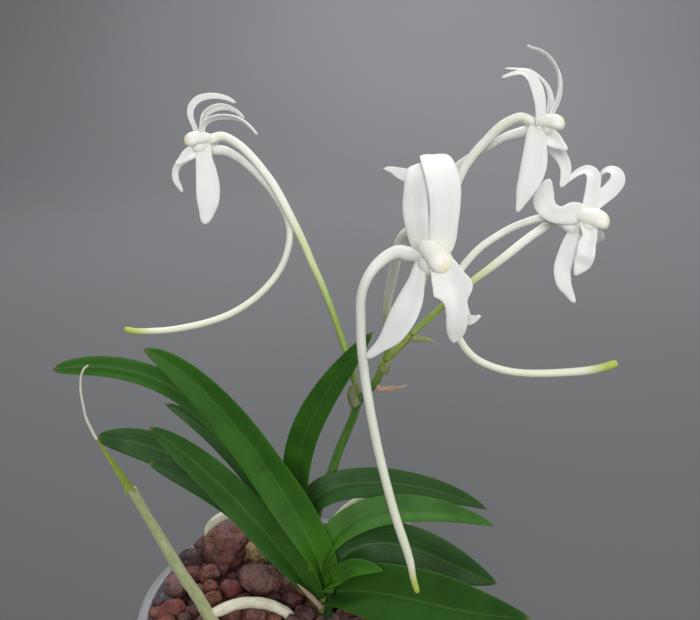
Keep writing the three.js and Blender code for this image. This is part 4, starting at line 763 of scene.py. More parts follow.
def leaf_look():
    look = Look("leaf_green", IOR=1.42, Coat_Weight=0.02, Coat_Roughness=0.35, Specular_IOR_Level=0.22)
    along, side, under, tone = (look.layer(key) for key in ("along", "side", "under", "tone"))
    veins = look.fibres(9.0, 2.2, tone, scale=3.0, detail=4.0)
    blotch = look.grain(130.0)
    # dark to bright leaves, with darker blotches and veins
    green = look.blend(tone, (0.015, 0.049, 0.014), (0.057, 0.225, 0.008))
    green = look.toward(green, blotch, 0.35, 0.7, look.blend(0.5, green, (0.009, 0.040, 0.006)))
    green = look.toward(green, veins, 0.42, 0.62, (0.03, 0.10, 0.014), 0.25)
    # pale parallel lines, seen on the dark leaves only
    ribs = look.math("ABSOLUTE", look.math("SINE", look.times(side, 3 * math.pi)))
    ribs = look.times(look.span(ribs, 0.16, 0.0), look.span(tone, 0.5, 0.1, 0.0, 0.3))
    green = look.blend(ribs, green, (0.08, 0.16, 0.06))
    # fresher green near the foot of bright leaves
    young = look.times(look.span(along, 0.45, 0.0, 0.0, 0.6), look.span(tone, 0.22, 0.48))
    green = look.blend(young, green, (0.06, 0.19, 0.012))
    # midrib, margins, underside, browned tip and fine pale specks
    keel = look.math("ABSOLUTE", side)
    midrib = look.times(look.span(keel, 0.055, 0.015), look.math("SUBTRACT", 1.0, under))
    green = look.blend(look.times(midrib, 0.3), green, (0.10, 0.20, 0.06))
    green = look.toward(green, keel, 0.96, 1.0, (0.10, 0.20, 0.04), 0.4)
    green = look.blend(look.times(under, 0.35), green, (0.07, 0.17, 0.035))
    green = look.toward(green, along, 0.975, 1.0, (0.16, 0.13, 0.035), 0.75)
    specks = look.span(look.cells(420.0), 0.045, 0.02)
    green = look.blend(look.times(specks, 0.4), green, (0.4, 0.46, 0.34))
    return look.finish(green, (blotch, 0.3, 0.75, 0.42, 0.58), (veins, 0.00009, 0.5))


def petal_look():
    look = Look(
        "petal_white", IOR=1.4, Subsurface_Weight=0.35, Subsurface_Scale=0.0012,
        Subsurface_Radius=(1.0, 0.95, 0.8), Sheen_Weight=0.12, Sheen_Roughness=0.5,
    )
    along = look.layer("along")
    veins = look.fibres(7.0, 1.5, look.layer("tone"), scale=2.4, detail=4.0)
    cloud = look.grain(260.0)
    white = look.blend(look.span(veins, 0.4, 0.65), (0.86, 0.855, 0.84), (0.805, 0.80, 0.78))
    white = look.toward(white, cloud, 0.4, 0.7, (0.86, 0.87, 0.86), 0.5)
    # a touch of green at the base and of cream at the tip
    white = look.toward(white, along, 0.22, 0.0, (0.86, 0.87, 0.66), 0.6)
    white = look.toward(white, along, 0.93, 1.0, (0.74, 0.72, 0.62), 0.22)
    return look.finish(white, (cloud, 0.3, 0.7, 0.42, 0.56), (veins, 0.00008, 0.4))


def lip_look():
    """Lip and spur: yellowish at the throat; the spur turns cream, then green at its end."""
    look = Look(
        "lip_white", IOR=1.4, Subsurface_Weight=0.3, Subsurface_Scale=0.0012,
        Subsurface_Radius=(1.0, 0.95, 0.75),
    )
    along, spur = look.layer("along"), look.layer("spur")
    cloud = look.grain(300.0)
    white = look.blend(look.span(cloud, 0.35, 0.7), (0.90, 0.905, 0.89), (0.83, 0.84, 0.80))
    white = look.toward(white, along, 0.2, 0.0, (0.88, 0.84, 0.52), 0.6)
    white = look.toward(white, spur, 0.02, 0.3, (0.74, 0.78, 0.62), 0.5)
    white = look.toward(white, spur, 0.3, 0.85, (0.72, 0.78, 0.46), 0.3)
    white = look.toward(white, spur, 0.9, 0.985, (0.42, 0.52, 0.08))
    return look.finish(white, (cloud, 0.3, 0.7, 0.36, 0.5), (cloud, 0.00006, 0.5))


def column_look():
    look = Look(
        "column_cream", IOR=1.42, Subsurface_Weight=0.3, Subsurface_Scale=0.001,
        Subsurface_Radius=(1.0, 0.9, 0.6),
    )
    cloud = look.grain(600.0)
    cream = look.blend(look.layer("cap"), (0.90, 0.89, 0.82), (0.88, 0.84, 0.5))
    cream = look.toward(cream, cloud, 0.4, 0.7, (0.93, 0.92, 0.85), 0.4)
    return look.finish(cream, (cloud, 0.3, 0.7, 0.3, 0.45), (cloud, 0.00008, 0.6))


def stalk_look(name, green, pale, top, glow=0.15):
    """A living stalk that goes from green through pale to its top colour with its fade layer."""
    look = Look(
        name, IOR=1.42, Subsurface_Weight=glow, Subsurface_Scale=0.001, Subsurface_Radius=(0.8, 1.0, 0.5),
    )
    fade = look.layer("fade")
    streak = look.fibres(6.0, 5.0, 0.3, scale=2.0, detail=3.0)
    cloud = look.grain(350.0)
    skin = look.blend(look.span(fade, 0.0, 0.5), green, pale)
    skin = look.toward(skin, fade, 0.5, 1.0, top)
    skin = look.toward(skin, streak, 0.4, 0.7, look.blend(0.45, skin, (0.9, 0.95, 0.6)), 0.35)
    skin = look.toward(skin, cloud, 0.5, 0.8, look.blend(0.4, skin, green), 0.3)
    return look.finish(skin, (cloud, 0.3, 0.7, 0.36, 0.5), (streak, 0.00008, 0.5))


def root_look():
    """Velamen: white, green where the fade layer says, and bare green tissue or core where torn."""
    look = Look("root_velamen", IOR=1.4, Subsurface_Weight=0.1, Subsurface_Scale=0.001)
    streak = look.fibres(5.0, 9.0, look.layer("tone"), scale=2.2, detail=5.0, roughness=0.65)
    cloud = look.grain(260.0, detail=4.0)
    pores = look.cells(1500.0)
    marks = look.span(streak, 0.35, 0.7)
    white = look.blend(marks, (0.70, 0.67, 0.54), (0.52, 0.52, 0.35))
    white = look.toward(white, cloud, 0.45, 0.75, (0.85, 0.84, 0.76), 0.6)
    green = look.blend(marks, (0.25, 0.29, 0.12), (0.36, 0.39, 0.21))
    strip = look.blend(look.span(streak, 0.4, 0.7), (0.16, 0.24, 0.02), (0.36, 0.46, 0.08))
    skin = look.blend(look.layer("fade"), white, green)
    skin = look.blend(look.layer("bare"), skin, strip)
    skin = look.blend(look.layer("thread"), skin, (0.66, 0.66, 0.56))
    relief = look.math("ADD", look.times(streak, 0.7), look.times(pores, 0.3))
    return look.finish(skin, (cloud, 0.3, 0.7, 0.6, 0.78), (relief, 0.00022, 0.6))


def dry_look():
    """Papery bracts: tan when withered, olive half way, pale green where the fade layer is full."""
    look = Look("dry_bract", IOR=1.4, Subsurface_Weight=0.1, Subsurface_Scale=0.0008)
    veins = look.fibres(7.0, 2.0, 0.7, scale=2.5, detail=5.0, roughness=0.6)
    marks = look.span(veins, 0.35, 0.65)
    tan = look.blend(marks, (0.62, 0.45, 0.34), (0.45, 0.28, 0.20))
    olive = look.blend(marks, (0.19, 0.22, 0.09), (0.29, 0.32, 0.16))
    pale = look.blend(marks, (0.32, 0.42, 0.14), (0.45, 0.50, 0.22))
    fade = look.layer("fade")
    skin = look.blend(look.span(fade, 0.0, 0.5), tan, olive)
    skin = look.toward(skin, fade, 0.5, 1.0, pale)
    withered = look.times(look.span(look.layer("along"), 0.7, 1.0, 0.0, 0.6), look.span(fade, 0.5, 0.0))
    skin = look.blend(withered, skin, (0.62, 0.46, 0.35))
    return look.finish(skin, (veins, 0.3, 0.7, 0.6, 0.8), (veins, 0.0002, 0.8))


def stone_look():
    """Lava: each stone's own tint, with painted shade darkening the hollows and the pits, and pale grit and
    crust.
    """
    look = Look("lava_stone", IOR=1.5, Specular_IOR_Level=0.45)
    coarse = look.grain(420.0, detail=6.0, roughness=0.65)
    fine = look.grain(1900.0, detail=4.0, roughness=0.7)
    crust = look.grain(640.0, detail=5.0, roughness=0.7, distortion=0.6)
    pits = look.cells(1150.0)
    tint = look.colour_layer("tint")
    # darker where the coarse grain sinks the bump: painted shade in the hollows
    rock = look.blend(look.span(coarse, 0.35, 0.68), look.blend(0.65, tint, (0.02, 0.008, 0.008)), tint)
    rock = look.toward(rock, fine, 0.5, 0.78, look.blend(0.4, tint, (0.5, 0.34, 0.3)), 0.5)
    rock = look.toward(rock, crust, 0.58, 0.72, look.blend(0.35, tint, (0.62, 0.48, 0.44)), 0.45)
    # nearly black in the pits, which the bump sinks: painted shade inside them
    rock = look.toward(rock, pits, 0.22, 0.08, (0.018, 0.008, 0.008), 0.75)
    relief = look.math("ADD", look.times(coarse, 0.6), look.times(fine, 0.25))
    relief = look.math("ADD", relief, look.span(pits, 0.05, 0.3, 0.0, 0.4))
    return look.finish(rock, (coarse, 0.3, 0.7, 0.44, 0.85), (relief, 0.0006, 0.9))


def pot_look():
    """Milky translucent plastic, scuffed, and a little browner towards the foot."""
    look = Look(
        "pot_plastic", IOR=1.46, Transmission_Weight=0.86, Subsurface_Weight=0.2, Subsurface_Scale=0.002,
        Subsurface_Radius=(0.9, 0.9, 1.0),
    )
    cloud = look.grain(45.0, detail=4.0)
    scuff = look.grain(900.0, detail=5.0, roughness=0.7)
    milk = look.blend(look.span(cloud, 0.35, 0.7), (0.60, 0.605, 0.62), (0.50, 0.505, 0.52))
    milk = look.toward(milk, scuff, 0.56, 0.75, (0.70, 0.705, 0.72), 0.4)
    milk = look.toward(milk, look.layer("height"), 0.55, 0.0, (0.52, 0.5, 0.47), 0.35)
    return look.finish(milk, (scuff, 0.35, 0.7, 0.3, 0.46), (scuff, 0.00004, 0.6))


def studio_look():
    """Plain matt paper, faintly uneven in tone."""
    look = Look("studio_floor", Roughness=0.85)
    cloud = look.span(look.grain(1.6, detail=2.0), 0.3, 0.7)
    grey = look.blend(cloud, (0.086, 0.088, 0.0935), (0.078, 0.08, 0.0845))
    look.tree.links.new(grey, look.shader.inputs["Base Color"])
    return look.material


# ------------------------------------------------------------------ pot and pebbles

WALL_STEPS = 24  # rings up each side of the pot's wall
CRISP_ANGLE = 40  # degrees; sharper edges of the pot stay crisp


def wall_radius(height):
    return mix(POT["foot"], POT["shoulder"], height / (POT["height"] - POT["lip"]))


def inner_radius(height):
    return wall_radius(height) - POT["wall"]


def ring(radius, height, turn):
    return [(radius * math.cos(a), radius * math.sin(a), height) for a in turn]


def arc(middle, radius, start, end, steps=5):
    angle = np.radians(np.linspace(start, end, steps))
    return [(middle[0] + radius * math.cos(a), middle[1] + radius * math.sin(a)) for a in angle]


def pot_profile():
    """Section through the wall from the middle of the underside round to the middle of the floor."""
    top, lip_foot, floor = POT["height"], POT["height"] - POT["lip"], POT["floor"]
    foot_corner, lip_corner, floor_corner = POT["foot_corner"], POT["lip_corner"], POT["floor_corner"]
    inner, r = inner_radius(lip_foot), POT["rounding"]
    outside_heights = np.linspace(foot_corner, lip_foot - lip_corner, WALL_STEPS)
    inside_heights = np.linspace(lip_foot, floor + 1, WALL_STEPS)
    return [
        (0, 0),
        (POT["drain_ring"] + 5, 0),
        *arc((wall_radius(foot_corner) - foot_corner, foot_corner), foot_corner, -90, 0),
        *[(wall_radius(h), h) for h in outside_heights],
        (wall_radius(lip_foot) + 0.05, lip_foot - 0.1),
        *arc((POT["rim"] - lip_corner, lip_foot + lip_corner), lip_corner, -90, 0, 3),
        *arc((POT["rim"] - r, top - r), r, 0, 90, 6),
        ((POT["rim"] + inner) / 2, top - 0.05),
        *arc((inner + r, top - r), r, 90, 180, 6),
        *[(inner_radius(h), h) for h in inside_heights],
        *arc((inner_radius(floor) - floor_corner, floor + floor_corner), floor_corner, 0, -90),
        (0, floor),
    ]


def build_pot(material):
    profile = pot_profile()
    rows = profile[1:-1]
    around = AROUND["pot"]
    turn = turns(around)
    points = [(0, 0, profile[0][1]), (0, 0, profile[-1][1])]
    for radius, height in rows:
        points += ring(radius, height, turn)
    first = 2
    last = first + (len(rows) - 1) * around
    faces = ring_quads(len(rows), around, first)
    for k in range(around):
        n = (k + 1) % around
        faces.append((0, first + n, first + k))
        faces.append((1, last + k, last + n))
    pot = add_mesh("pot_shell", points, faces)
    for hole in range(POT["drains"]):
        cut_drain(pot, 2 * math.pi * hole / POT["drains"])
    heights = np.array([v.co.z for v in pot.data.vertices], np.float32) / (POT["height"] * MM)
    set_layer(pot.data, "height", heights)
    shade_smooth(pot.data)
    pot.data.set_sharp_from_angle(angle=math.radians(CRISP_ANGLE))
    return place(pot, "pot_plastic", material, "pot")


def cut_drain(pot, angle):
    """Cuts one round drain hole through the pot's floor."""
    turn = turns(AROUND["drain"])
    x, y = POT["drain_ring"] * math.cos(angle), POT["drain_ring"] * math.sin(angle)
    circle = np.c_[x + POT["drain"] * np.cos(turn), y + POT["drain"] * np.sin(turn)]
    ends = (-1.0, POT["floor"] + 1.0)
    rings = np.array([np.c_[circle, np.full(len(turn), height)] for height in ends])
    cutter = Body().add(rings).finish("drain_cutter", offset=0)
    cut = pot.modifiers.new("drain", "BOOLEAN")
    cut.operation, cut.solver, cut.object = "DIFFERENCE", "EXACT", cutter
    apply_modifiers(pot)
    bpy.data.objects.remove(cutter)


def apply_modifiers(obj):
    bpy.context.view_layer.update()
    graph = bpy.context.evaluated_depsgraph_get()
    mesh = bpy.data.meshes.new_from_object(obj.evaluated_get(graph), depsgraph=graph)
    obj.modifiers.clear()
    obj.data = mesh


FLATS = 11  # worn flats on each pebble
FLAT_REACH = (0.72, 1.0)  # nearest and farthest flat from the middle
EDGE = 12.0  # how crisp the edges between flats are
FULLNESS = 1.12  # makes up for what the flats take off
LUMPS = ((1.3, 0.14), (2.9, 0.08), (6.5, 0.05))  # how fine and how deep the lumps are
PITS = (4.2, 0.3, 0.16)  # how fine the pits are, where they begin and how deep they are


def rock(middle, half, seed, level):
    """A lava pebble: a ball with worn flats, coarse lumps, fine grit and open pits."""
    ball, faces = BALLS[level]
    facets = RANDOM.normal(size=(FLATS, 3))
    facets /= np.linalg.norm(facets, axis=1, keepdims=True)
    reach = RANDOM.uniform(*FLAT_REACH, FLATS) / np.maximum(ball @ facets.T, 0.05)
    shape = (np.sum(reach**-EDGE, axis=1) + 1) ** (-1 / EDGE)
    shifts = np.eye(3) * seed
    fine, begins, depth = PITS
    points = []
    for (x, y, z), flat in zip(ball, shape):
        at = Vector((x, y, z))
        size = FULLNESS * flat
        for (scale, height), shift in zip(LUMPS, shifts):
            size += height * noise.noise(at * scale + Vector(shift))
        pit = noise.noise(at * fine + Vector((seed, seed, 5.0)))
        size -= depth * max(0.0, pit - begins)
        points.append((x * size, y * size, z * size))
    spin = RANDOM.normal(size=4) * np.array([1, 0.3, 0.3, 0.6])
    points = np.array(points) @ turn_matrix(spin).T
    return points * np.asarray(half, float) + np.asarray(middle, float), faces


def turn_matrix(q):
    """Rotation matrix of a quaternion."""
    w, x, y, z = q / np.linalg.norm(q)
    return np.array([
        [1 - 2 * (y * y + z * z), 2 * (x * y - z * w), 2 * (x * z + y * w)],
        [2 * (x * y + z * w), 1 - 2 * (x * x + z * z), 2 * (y * z - x * w)],
        [2 * (x * z - y * w), 2 * (y * z + x * w), 1 - 2 * (x * x + y * y)],
    ])


def ball_mesh(level):
    """Corner points and faces of a geodesic ball."""
    work = bmesh.new()
    bmesh.ops.create_icosphere(work, subdivisions=level, radius=1.0)
    points = np.array([v.co for v in work.verts])
    faces = np.array([[v.index for v in f.verts] for f in work.faces])
    work.free()
    return points, faces


# Balls by level of detail: against the wall, scattered, in plain view, large and loose.
WALL_BALL, SCATTERED_BALL, SHOWN_BALL, LOOSE_BALL = 2, 3, 4, 5
BALLS = {level: ball_mesh(level) for level in (WALL_BALL, SCATTERED_BALL, SHOWN_BALL, LOOSE_BALL)}

STONE_TINTS = (
    (0.15, 0.045, 0.038), (0.10, 0.032, 0.03), (0.05, 0.021, 0.022), (0.2, 0.07, 0.045),
    (0.17, 0.085, 0.072), (0.21, 0.052, 0.036), (0.075, 0.026, 0.03), (0.14, 0.07, 0.055),
)


def chance_tint(low, high):
    """One of the stone tints, made darker or lighter by chance."""
    tint = np.array(STONE_TINTS[RANDOM.integers(len(STONE_TINTS))])
    return tint * RANDOM.uniform(low, high)


def pebble_heap(name, stones, material, node):
    """One piece of many pebbles; each stone is middle, half sizes, colour, seed and ball level."""
    points, faces, tints, count = [], [], [], 0
    for middle, half, tint, seed, level in stones:
        shape, links = rock(middle, half, seed, level)
        points.append(shape)
        faces += (links + count).tolist()
        tints.append(np.tile(tint, (len(shape), 1)))
        count += len(shape)
    heap = add_mesh(name, np.concatenate(points), faces, {"tint": np.concatenate(tints)})
    place(heap, "lava_stone", material, node)


def mound_height(radius):
    return mix(BED["crown"], BED["shoulder"], ease(radius, BED["flat_to"], BED["slope_to"]))


# Pebbles in plain view: x, y from the clump, radius, height above the mound and colour.
SHOWN_PEBBLES = (
    ((-27.5, 8.2), 3.0, 2.4, (0.04, 0.017, 0.019)), ((-31.2, 10), 1.5, 2.2, (0.28, 0.14, 0.07)),
    ((-22.8, 2.2), 2.1, 2.0, (0.2, 0.06, 0.047)), ((-17.5, -1.8), 2.3, 1.4, (0.165, 0.028, 0.026)),
    ((-21.1, -4.1), 2.0, 0.8, (0.2, 0.075, 0.04)), ((-4.7, -4.6), 1.9, 1.4, (0.11, 0.022, 0.022)),
    ((-1.9, -8.2), 2.2, 0.9, (0.09, 0.03, 0.033)), ((-29.5, 0.8), 2.6, 1.8, (0.17, 0.085, 0.075)),
    ((-29.0, -6.0), 2.7, 1.3, (0.21, 0.05, 0.034)), ((-11.8, -8.7), 2.3, 0.7, (0.17, 0.07, 0.055)),
    ((-27.0, 5.6), 2.3, 0.9, (0.15, 0.035, 0.03)), ((-29.2, -10), 2.5, 1.2, (0.24, 0.065, 0.038)),
    ((-20.7, 5.3), 2.0, 1.3, (0.13, 0.04, 0.034)), ((-14.5, -4.2), 1.8, 0.4, (0.14, 0.05, 0.04)),
    ((-8.4, -3.6), 1.9, 0.8, (0.085, 0.03, 0.03)), ((-27.5, 15.5), 3.0, 3.2, (0.12, 0.05, 0.045)),
    ((-21.5, 20), 3.2, 3.4, (0.16, 0.075, 0.06)), ((-14.5, 21.5), 3.0, 3.2, (0.1, 0.034, 0.034)),
)

# Scattered pebbles in tiers, the last of them below the others: tries, least and greatest radius,
# height above the mound, and how close two may come as a share of their radii.
PEBBLE_TIERS = ((900, 2.2, 3.6, 0.9, 0.93), (500, 1.2, 2.0, 1.5, 0.8), (600, 2.0, 3.0, -1.6, 0.5))

# Pebbles against the wall: tries, least and greatest radius, and closeness as above.
WALL_TRIES, WALL_LEAST, WALL_GREATEST, WALL_CLOSENESS = 2600, 2.4, 3.8, 0.84

# Half sizes of a pebble as shares of its radius: in plain view, then the least and the most
# for the scattered ones.
SHOWN_SHAPE = (1, 0.92, 0.86)
FLATTEST, FULLEST = (1, 0.8, 0.72), (1.12, 1.0, 0.9)


def taken_by_others():
    """Places on the mound where the large stones and the stems stand: x, y and radius."""
    taken = []
    for middle, half, _ in NAMED_STONES.values():
        taken.append((middle[0] + CLUMP[0], middle[1] + CLUMP[1], max(half[:2]) - 0.4))
    for _, top in STEMS.values():
        taken.append((top[0] + CLUMP[0], top[1] + CLUMP[1], STEM_RADIUS - 0.3))
    return taken


def top_pebbles():
    """Pebbles on the mound: those in plain view first, then others wherever there is room."""
    stones, taken = [], taken_by_others()
    brim = inner_radius(BED["shoulder"])
    for (x, y), radius, above, tint in SHOWN_PEBBLES:
        x, y = x + CLUMP[0], y + CLUMP[1]
        far = math.hypot(x, y)
        pulled_in = min(1, (brim - 0.86 * radius) / far)
        x, y = x * pulled_in, y * pulled_in
        half = [radius * share for share in SHOWN_SHAPE]
        stones.append(((x, y, mound_height(far) + above), half, tint, x + 40, SHOWN_BALL))
        taken.append((x, y, radius))
    for tries, least, greatest, above, closeness in PEBBLE_TIERS:
        if above < 0:
            taken = []
        for _ in range(tries):
            radius = RANDOM.uniform(least, greatest)
            far = (brim - 0.9 * radius) * math.sqrt(RANDOM.uniform())
            angle = RANDOM.uniform(0, 2 * math.pi)
            x, y = far * math.cos(angle), far * math.sin(angle)
            if any(math.hypot(x - a, y - b) < closeness * (radius + r) for a, b, r in taken):
                continue
            taken.append((x, y, radius))
            tint = chance_tint(0.75, 1.2)
            half = radius * RANDOM.uniform(FLATTEST, FULLEST)
            middle = (x, y, mound_height(far) + above - 0.2 * radius)
            stones.append((middle, half, tint, RANDOM.uniform(0, 90), SCATTERED_BALL))
    return stones


def wall_pebbles():
    """Pebbles that lie against the pot's wall, seen faintly through it."""
    stones, taken = [], []
    lowest, highest = POT["floor"] + 3.2, BED["shoulder"] - 2
    for _ in range(WALL_TRIES):
        radius = RANDOM.uniform(WALL_LEAST, WALL_GREATEST)
        angle = RANDOM.uniform(0, 2 * math.pi)
        height = RANDOM.uniform(lowest, highest)
        reach = inner_radius(height) - radius - 0.1
        spot = np.array([reach * math.cos(angle), reach * math.sin(angle), height])
        if any(np.linalg.norm(spot - s) < WALL_CLOSENESS * (radius + r) for s, r in taken):
            continue
        taken.append((spot, radius))
        tint = chance_tint(0.8, 1.25)
        stones.append((spot, (radius * 0.9,) * 3, tint, RANDOM.uniform(0, 90), WALL_BALL))
    return stones


CORE_INSET = 3.2  # from the inside of the wall to the filling
CORE_SINK = 2.2  # from the mound down to the filling's top
# the filling's colour, nearly black: painted shade that stands for the gaps between pebbles
CORE_SHADE_TINT = (0.02, 0.01, 0.01)


def fill_shade_core(material):
    """Dark pebbly filling behind the single pebbles: painted shade in the gaps between them."""
    heights = np.linspace(BED["underside"], BED["shoulder"] - 1.6, 9)
    side = [(inner_radius(h) - CORE_INSET, h) for h in heights]
    brim = side[-1][0]
    bottom = [(0.05 * side[0][0], side[0][1])]
    top = [(share * brim, mound_height(share * brim) - CORE_SINK) for share in (0.8, 0.6, 0.4, 0.2, 0.02)]
    turn = turns(AROUND["filling"])
    rings = np.array([ring(r, h, turn) for r, h in (*bottom, *side, *top)])
    points = rings.reshape(-1, 3)
    layers = {"tint": np.tile(CORE_SHADE_TINT, (len(points), 1))}
    core = add_mesh("pebble_shade_core", points, ring_faces(len(rings), len(turn)), layers)
    place(core, "lava_stone", material, "pebble_bed")


def build_pebbles(material):
    pebble_heap("pebbles_on_top", top_pebbles(), material, "pebble_bed")
    pebble_heap("pebbles_at_wall", wall_pebbles(), material, "pebble_bed")
    fill_shade_core(material)
    for seed, (name, (middle, half, tint)) in enumerate(NAMED_STONES.items()):
        stone = (np.array(middle) + CLUMP, np.array(half) * 0.99, tint, 11.3 * seed + 4, LOOSE_BALL)
        pebble_heap(f"{name}_form", [stone], material, name)


# ------------------------------------------------------------------ leaves, stems and roots

# Layers that the looks read: places on the organ, how green it is, and torn tissue or thread.
LEAF_LAYERS = ("along", "side", "under", "tone")
STALK_LAYERS = ("along", "side", "fade")
ROOT_LAYERS = ("along", "side", "tone", "fade", "bare", "thread")


def leaf_half_width(share, width, narrowing, blunt):
    """Half width along a leaf: a little narrower at its foot, drawn in to a sharp or blunt tip."""
    base = mix(0.9, 1, ease(share, 0, 0.35)) - narrowing * ease(share, 0.35, 0.85)
    start = mix(0.42, 0.66, blunt)  # where the tip begins
    power = mix(2.2, 3.4, blunt)
    fullness = mix(0.8, 0.5, blunt)
    tip = np.maximum(0, 1 - (np.maximum(share - start, 0) / (1 - start)) ** power) ** fullness
    return np.maximum(0.05, width * base * tip / 2)


def build_leaf(material, name, spine, width, narrowing, fold, looks, tone, blunt):
    """A leaf: clasping and steeply folded at its foot, opening and thinning towards its tip."""
    path = bezier(spine, STEPS["leaf"])
    outward = unit(np.array([spine[3][0] - spine[0][0], spine[3][1] - spine[0][1], 0.0]))
    shares = shares_of(path)
    seed = spine[3][0] * 0.37 + spine[3][2]

    def ripple(share, s):
        wave = np.sin(share * 9 + seed) * 0.5 + np.sin(share * 17 + 1.7 * seed) * 0.3
        return 0.035 * wave * np.abs(s) ** 2 * np.sign(s)

    Body(*LEAF_LAYERS).add_blade(
        path, turning_normals(path, np.array([0, -0.75, 0.4]) - 0.7 * outward, looks, by=0.5),
        leaf_half_width(shares, width, narrowing, blunt), ripple=ripple, tone=tone,
        fold=mix(50, fold, ease(shares, 0, 0.35)) - 4 * shares, cup=-0.10 * ease(shares, 0.1, 0.5),
        thick=LEAF_THICKNESS * mix(1.1, 0.5, shares), keel=0.25 * mix(1, 0.3, shares),
    ).put(name, "leaf_green", material)


def build_side_shoot(material):
    """A young shoot: a short stalk that tapers upwards and carries one small bright leaf."""
    body = Body(*LEAF_LAYERS)
    path = spline((SIDE_SHOOT["foot"], SIDE_SHOOT["top"]), STEPS["shoot"])
    radius = rounded_ends(mix(1.15, 0.75, shares_of(path)) * SIDE_SHOOT["radius"], end=5)
    body.add(tube_rings(path, radius, AROUND["shoot"]), along=0.6, side=0.4)
    path = bezier(SIDE_SHOOT["leaf"], STEPS["shoot_leaf"])
    shares = shares_of(path)
    body.add_blade(
        path, turning_normals(path, (-0.5, 0.4, 0.4), (-0.2, -0.8, 0.55), by=0.4),
        leaf_half_width(shares, SIDE_SHOOT["width"], 0, 0), fold=mix(44, 14, shares), cup=-0.08,
        thick=LEAF_THICKNESS * mix(1, 0.5, shares), keel=0.15, count=13, reach=0.8, tone=0.72,
    )
    body.put("side_shoot", "leaf_green", material)


def build_stems(material):
    for name, (foot, top) in STEMS.items():
        path = spline((foot, top), STEPS["stem"])
        shares = shares_of(path)
        radius = rounded_ends(STEM_RADIUS * mix(1.0, 0.62, shares**2), end=7)
        body = Body(*STALK_LAYERS)
        rings = tube_rings(path, radius, AROUND["stem"], rough=0.08, seed=foot[0])
        body.add(rings, along=shares[:, None], fade=0.35)
        body.put(name, "stem_green", material)


def build_roots(material):
    for seed, (name, points) in enumerate(ROOTS.items()):
        path = spline(points, STEPS["root"])
        radius = mix(*ROOT_RADIUS, shares_of(path))
        body = Body(*ROOT_LAYERS)
        body.add_stalk(path, radius, AROUND["root"], rough=0.1, seed=7 * seed, tone=seed, fade=0.15)
        body.put(name, "root_velamen", material)


def build_aerial_root(material):
    """The rising arm with its torn end, strip and core thread, and the arch it grows from."""
    body = Body(*ROOT_LAYERS)
    arm = spline(AERIAL_ROOT["arm"], STEPS["arm"])
    shares, around = shares_of(arm), AROUND["arm"]
    radius = np.interp(shares, *np.transpose(AERIAL_ROOT["arm_radius"]))
    rings = torn_end(tube_rings(arm, radius, around, rough=0.09, seed=3), depth=1.3)
    # greener up the arm; whiter down one side, a painted highlight along its lit edge
    green = np.clip(0.55 + 0.45 * side_of(around), 0, 1) * ease(shares, 0.02, 0.3)[:, None]
    body.add(rings, along=shares[:, None], side=side_of(around), tone=0.4, fade=green)
    arch = spline(AERIAL_ROOT["arch"], STEPS["arch"])
    shares = shares_of(arch)
    radius = mix(*AERIAL_ROOT["arch_radius"], shares) * mix(1, 0.6, ease(shares, 0.88, 1))
    body.add_stalk(arch, radius, AROUND["arch"], rough=0.1, seed=5, tone=0.7)
    add_strip(body)
    core = spline(AERIAL_ROOT["core"], STEPS["thread"])
    radius = rounded_ends(mix(*AERIAL_ROOT["core_radius"], shares_of(core)), end=4)
    body.add(tube_rings(core, radius, AROUND["thread"], rough=0.1), along=0.5, thread=1.0)
    body.put("aerial_root", "root_velamen", material)


def torn_end(rings, depth, rows=4):
    """Tears the last rows of a tube, so that its rim ends at uneven heights."""
    rings = rings.copy()
    run = rings[-1].mean(0) - rings[-rows].mean(0)
    jag = np.array([round_noise(a, 2.1, 4.0) for a in turns(rings.shape[1])])
    for k in range(rows):
        rings[-1 - k] += np.outer(jag, unit(run)) * depth * (rows - k) / rows
    return rings


def add_strip(body):
    """The green strip of bare tissue that stands out of the torn end, split along its length."""
    steps = STEPS["strip"]
    for shift, wide, end in ((0.0, 1.0, 1.0), (0.35, 0.6, 0.55)):
        path = spline(AERIAL_ROOT["strip"], steps)[: int(steps * end) + 1]
        path = path + np.array([0.0, -0.25, 0.18]) * shift
        shares = shares_of(path)
        half = AERIAL_ROOT["strip_width"] * wide * mix(1, 0.16, shares**0.5) / 2 * np.sqrt(1.02 - shares**6)
        body.add_blade(
            path, carried_normals(path, (-0.1, -0.95, 0.3)), half, fold=mix(44, 20, shares), cup=0.1,
            thick=0.42 * mix(1, 0.6, shares), keel=0.0, count=9, tone=0.2 + shift, bare=1.0,
        )


def build_dry_pieces(material):
    for seed, (name, (spine, width, green)) in enumerate(DRY_PIECES.items()):
        path = bezier(spine, STEPS["bract"])
        shares = shares_of(path)

        def ripple(share, s, seed=seed):
            return 0.16 * np.sin(share * 14 + 2 * seed) * s * np.abs(s)

        Body(*STALK_LAYERS).add_blade(
            path, twisted(path, turning_normals(path, (0.2, 0.9, 0.4), (0, 0.9, 0.4), by=1), 25 * shares),
            width * mix(1, 0.22, shares**2) / 2 * np.sqrt(1.02 - shares**8), ripple=ripple,
            fold=24, cup=0.35, thick=0.28, keel=0.0, count=11, fade=green,
        ).put(name, "dry_bract", material)


# ------------------------------------------------------------------ flowers


def build_flower_stem(material):
    path = spline(FLOWER_STEM, STEPS["flower_stem"])
    shares = shares_of(path)
    radius = mix(*FLOWER_STEM_RADIUS, shares)
    for node in FLOWER_STEM_NODES:
        radius = radius + NODE_HEIGHT * np.exp(-(((shares - node) / NODE_LENGTH) ** 2))
    radius = rounded_ends(radius, end=3)
    fade = 0.42 * ease(shares, 0.72, 0.95)
    Body(*STALK_LAYERS).add_stalk(
        path, radius, AROUND["flower_stem"], ribs=5, rib_depth=0.02, rough=0.04, fade=fade[:, None],
    ).put("flower_stem", "stem_green", material)


def floral_axes(flower):
    """Unit vectors ahead, up and to the right of a flower's column."""
    forward = unit(flower["looks"])
    top = across(np.array([0.0, 0, 1]), forward)
    return forward, top, np.cross(-forward, top)


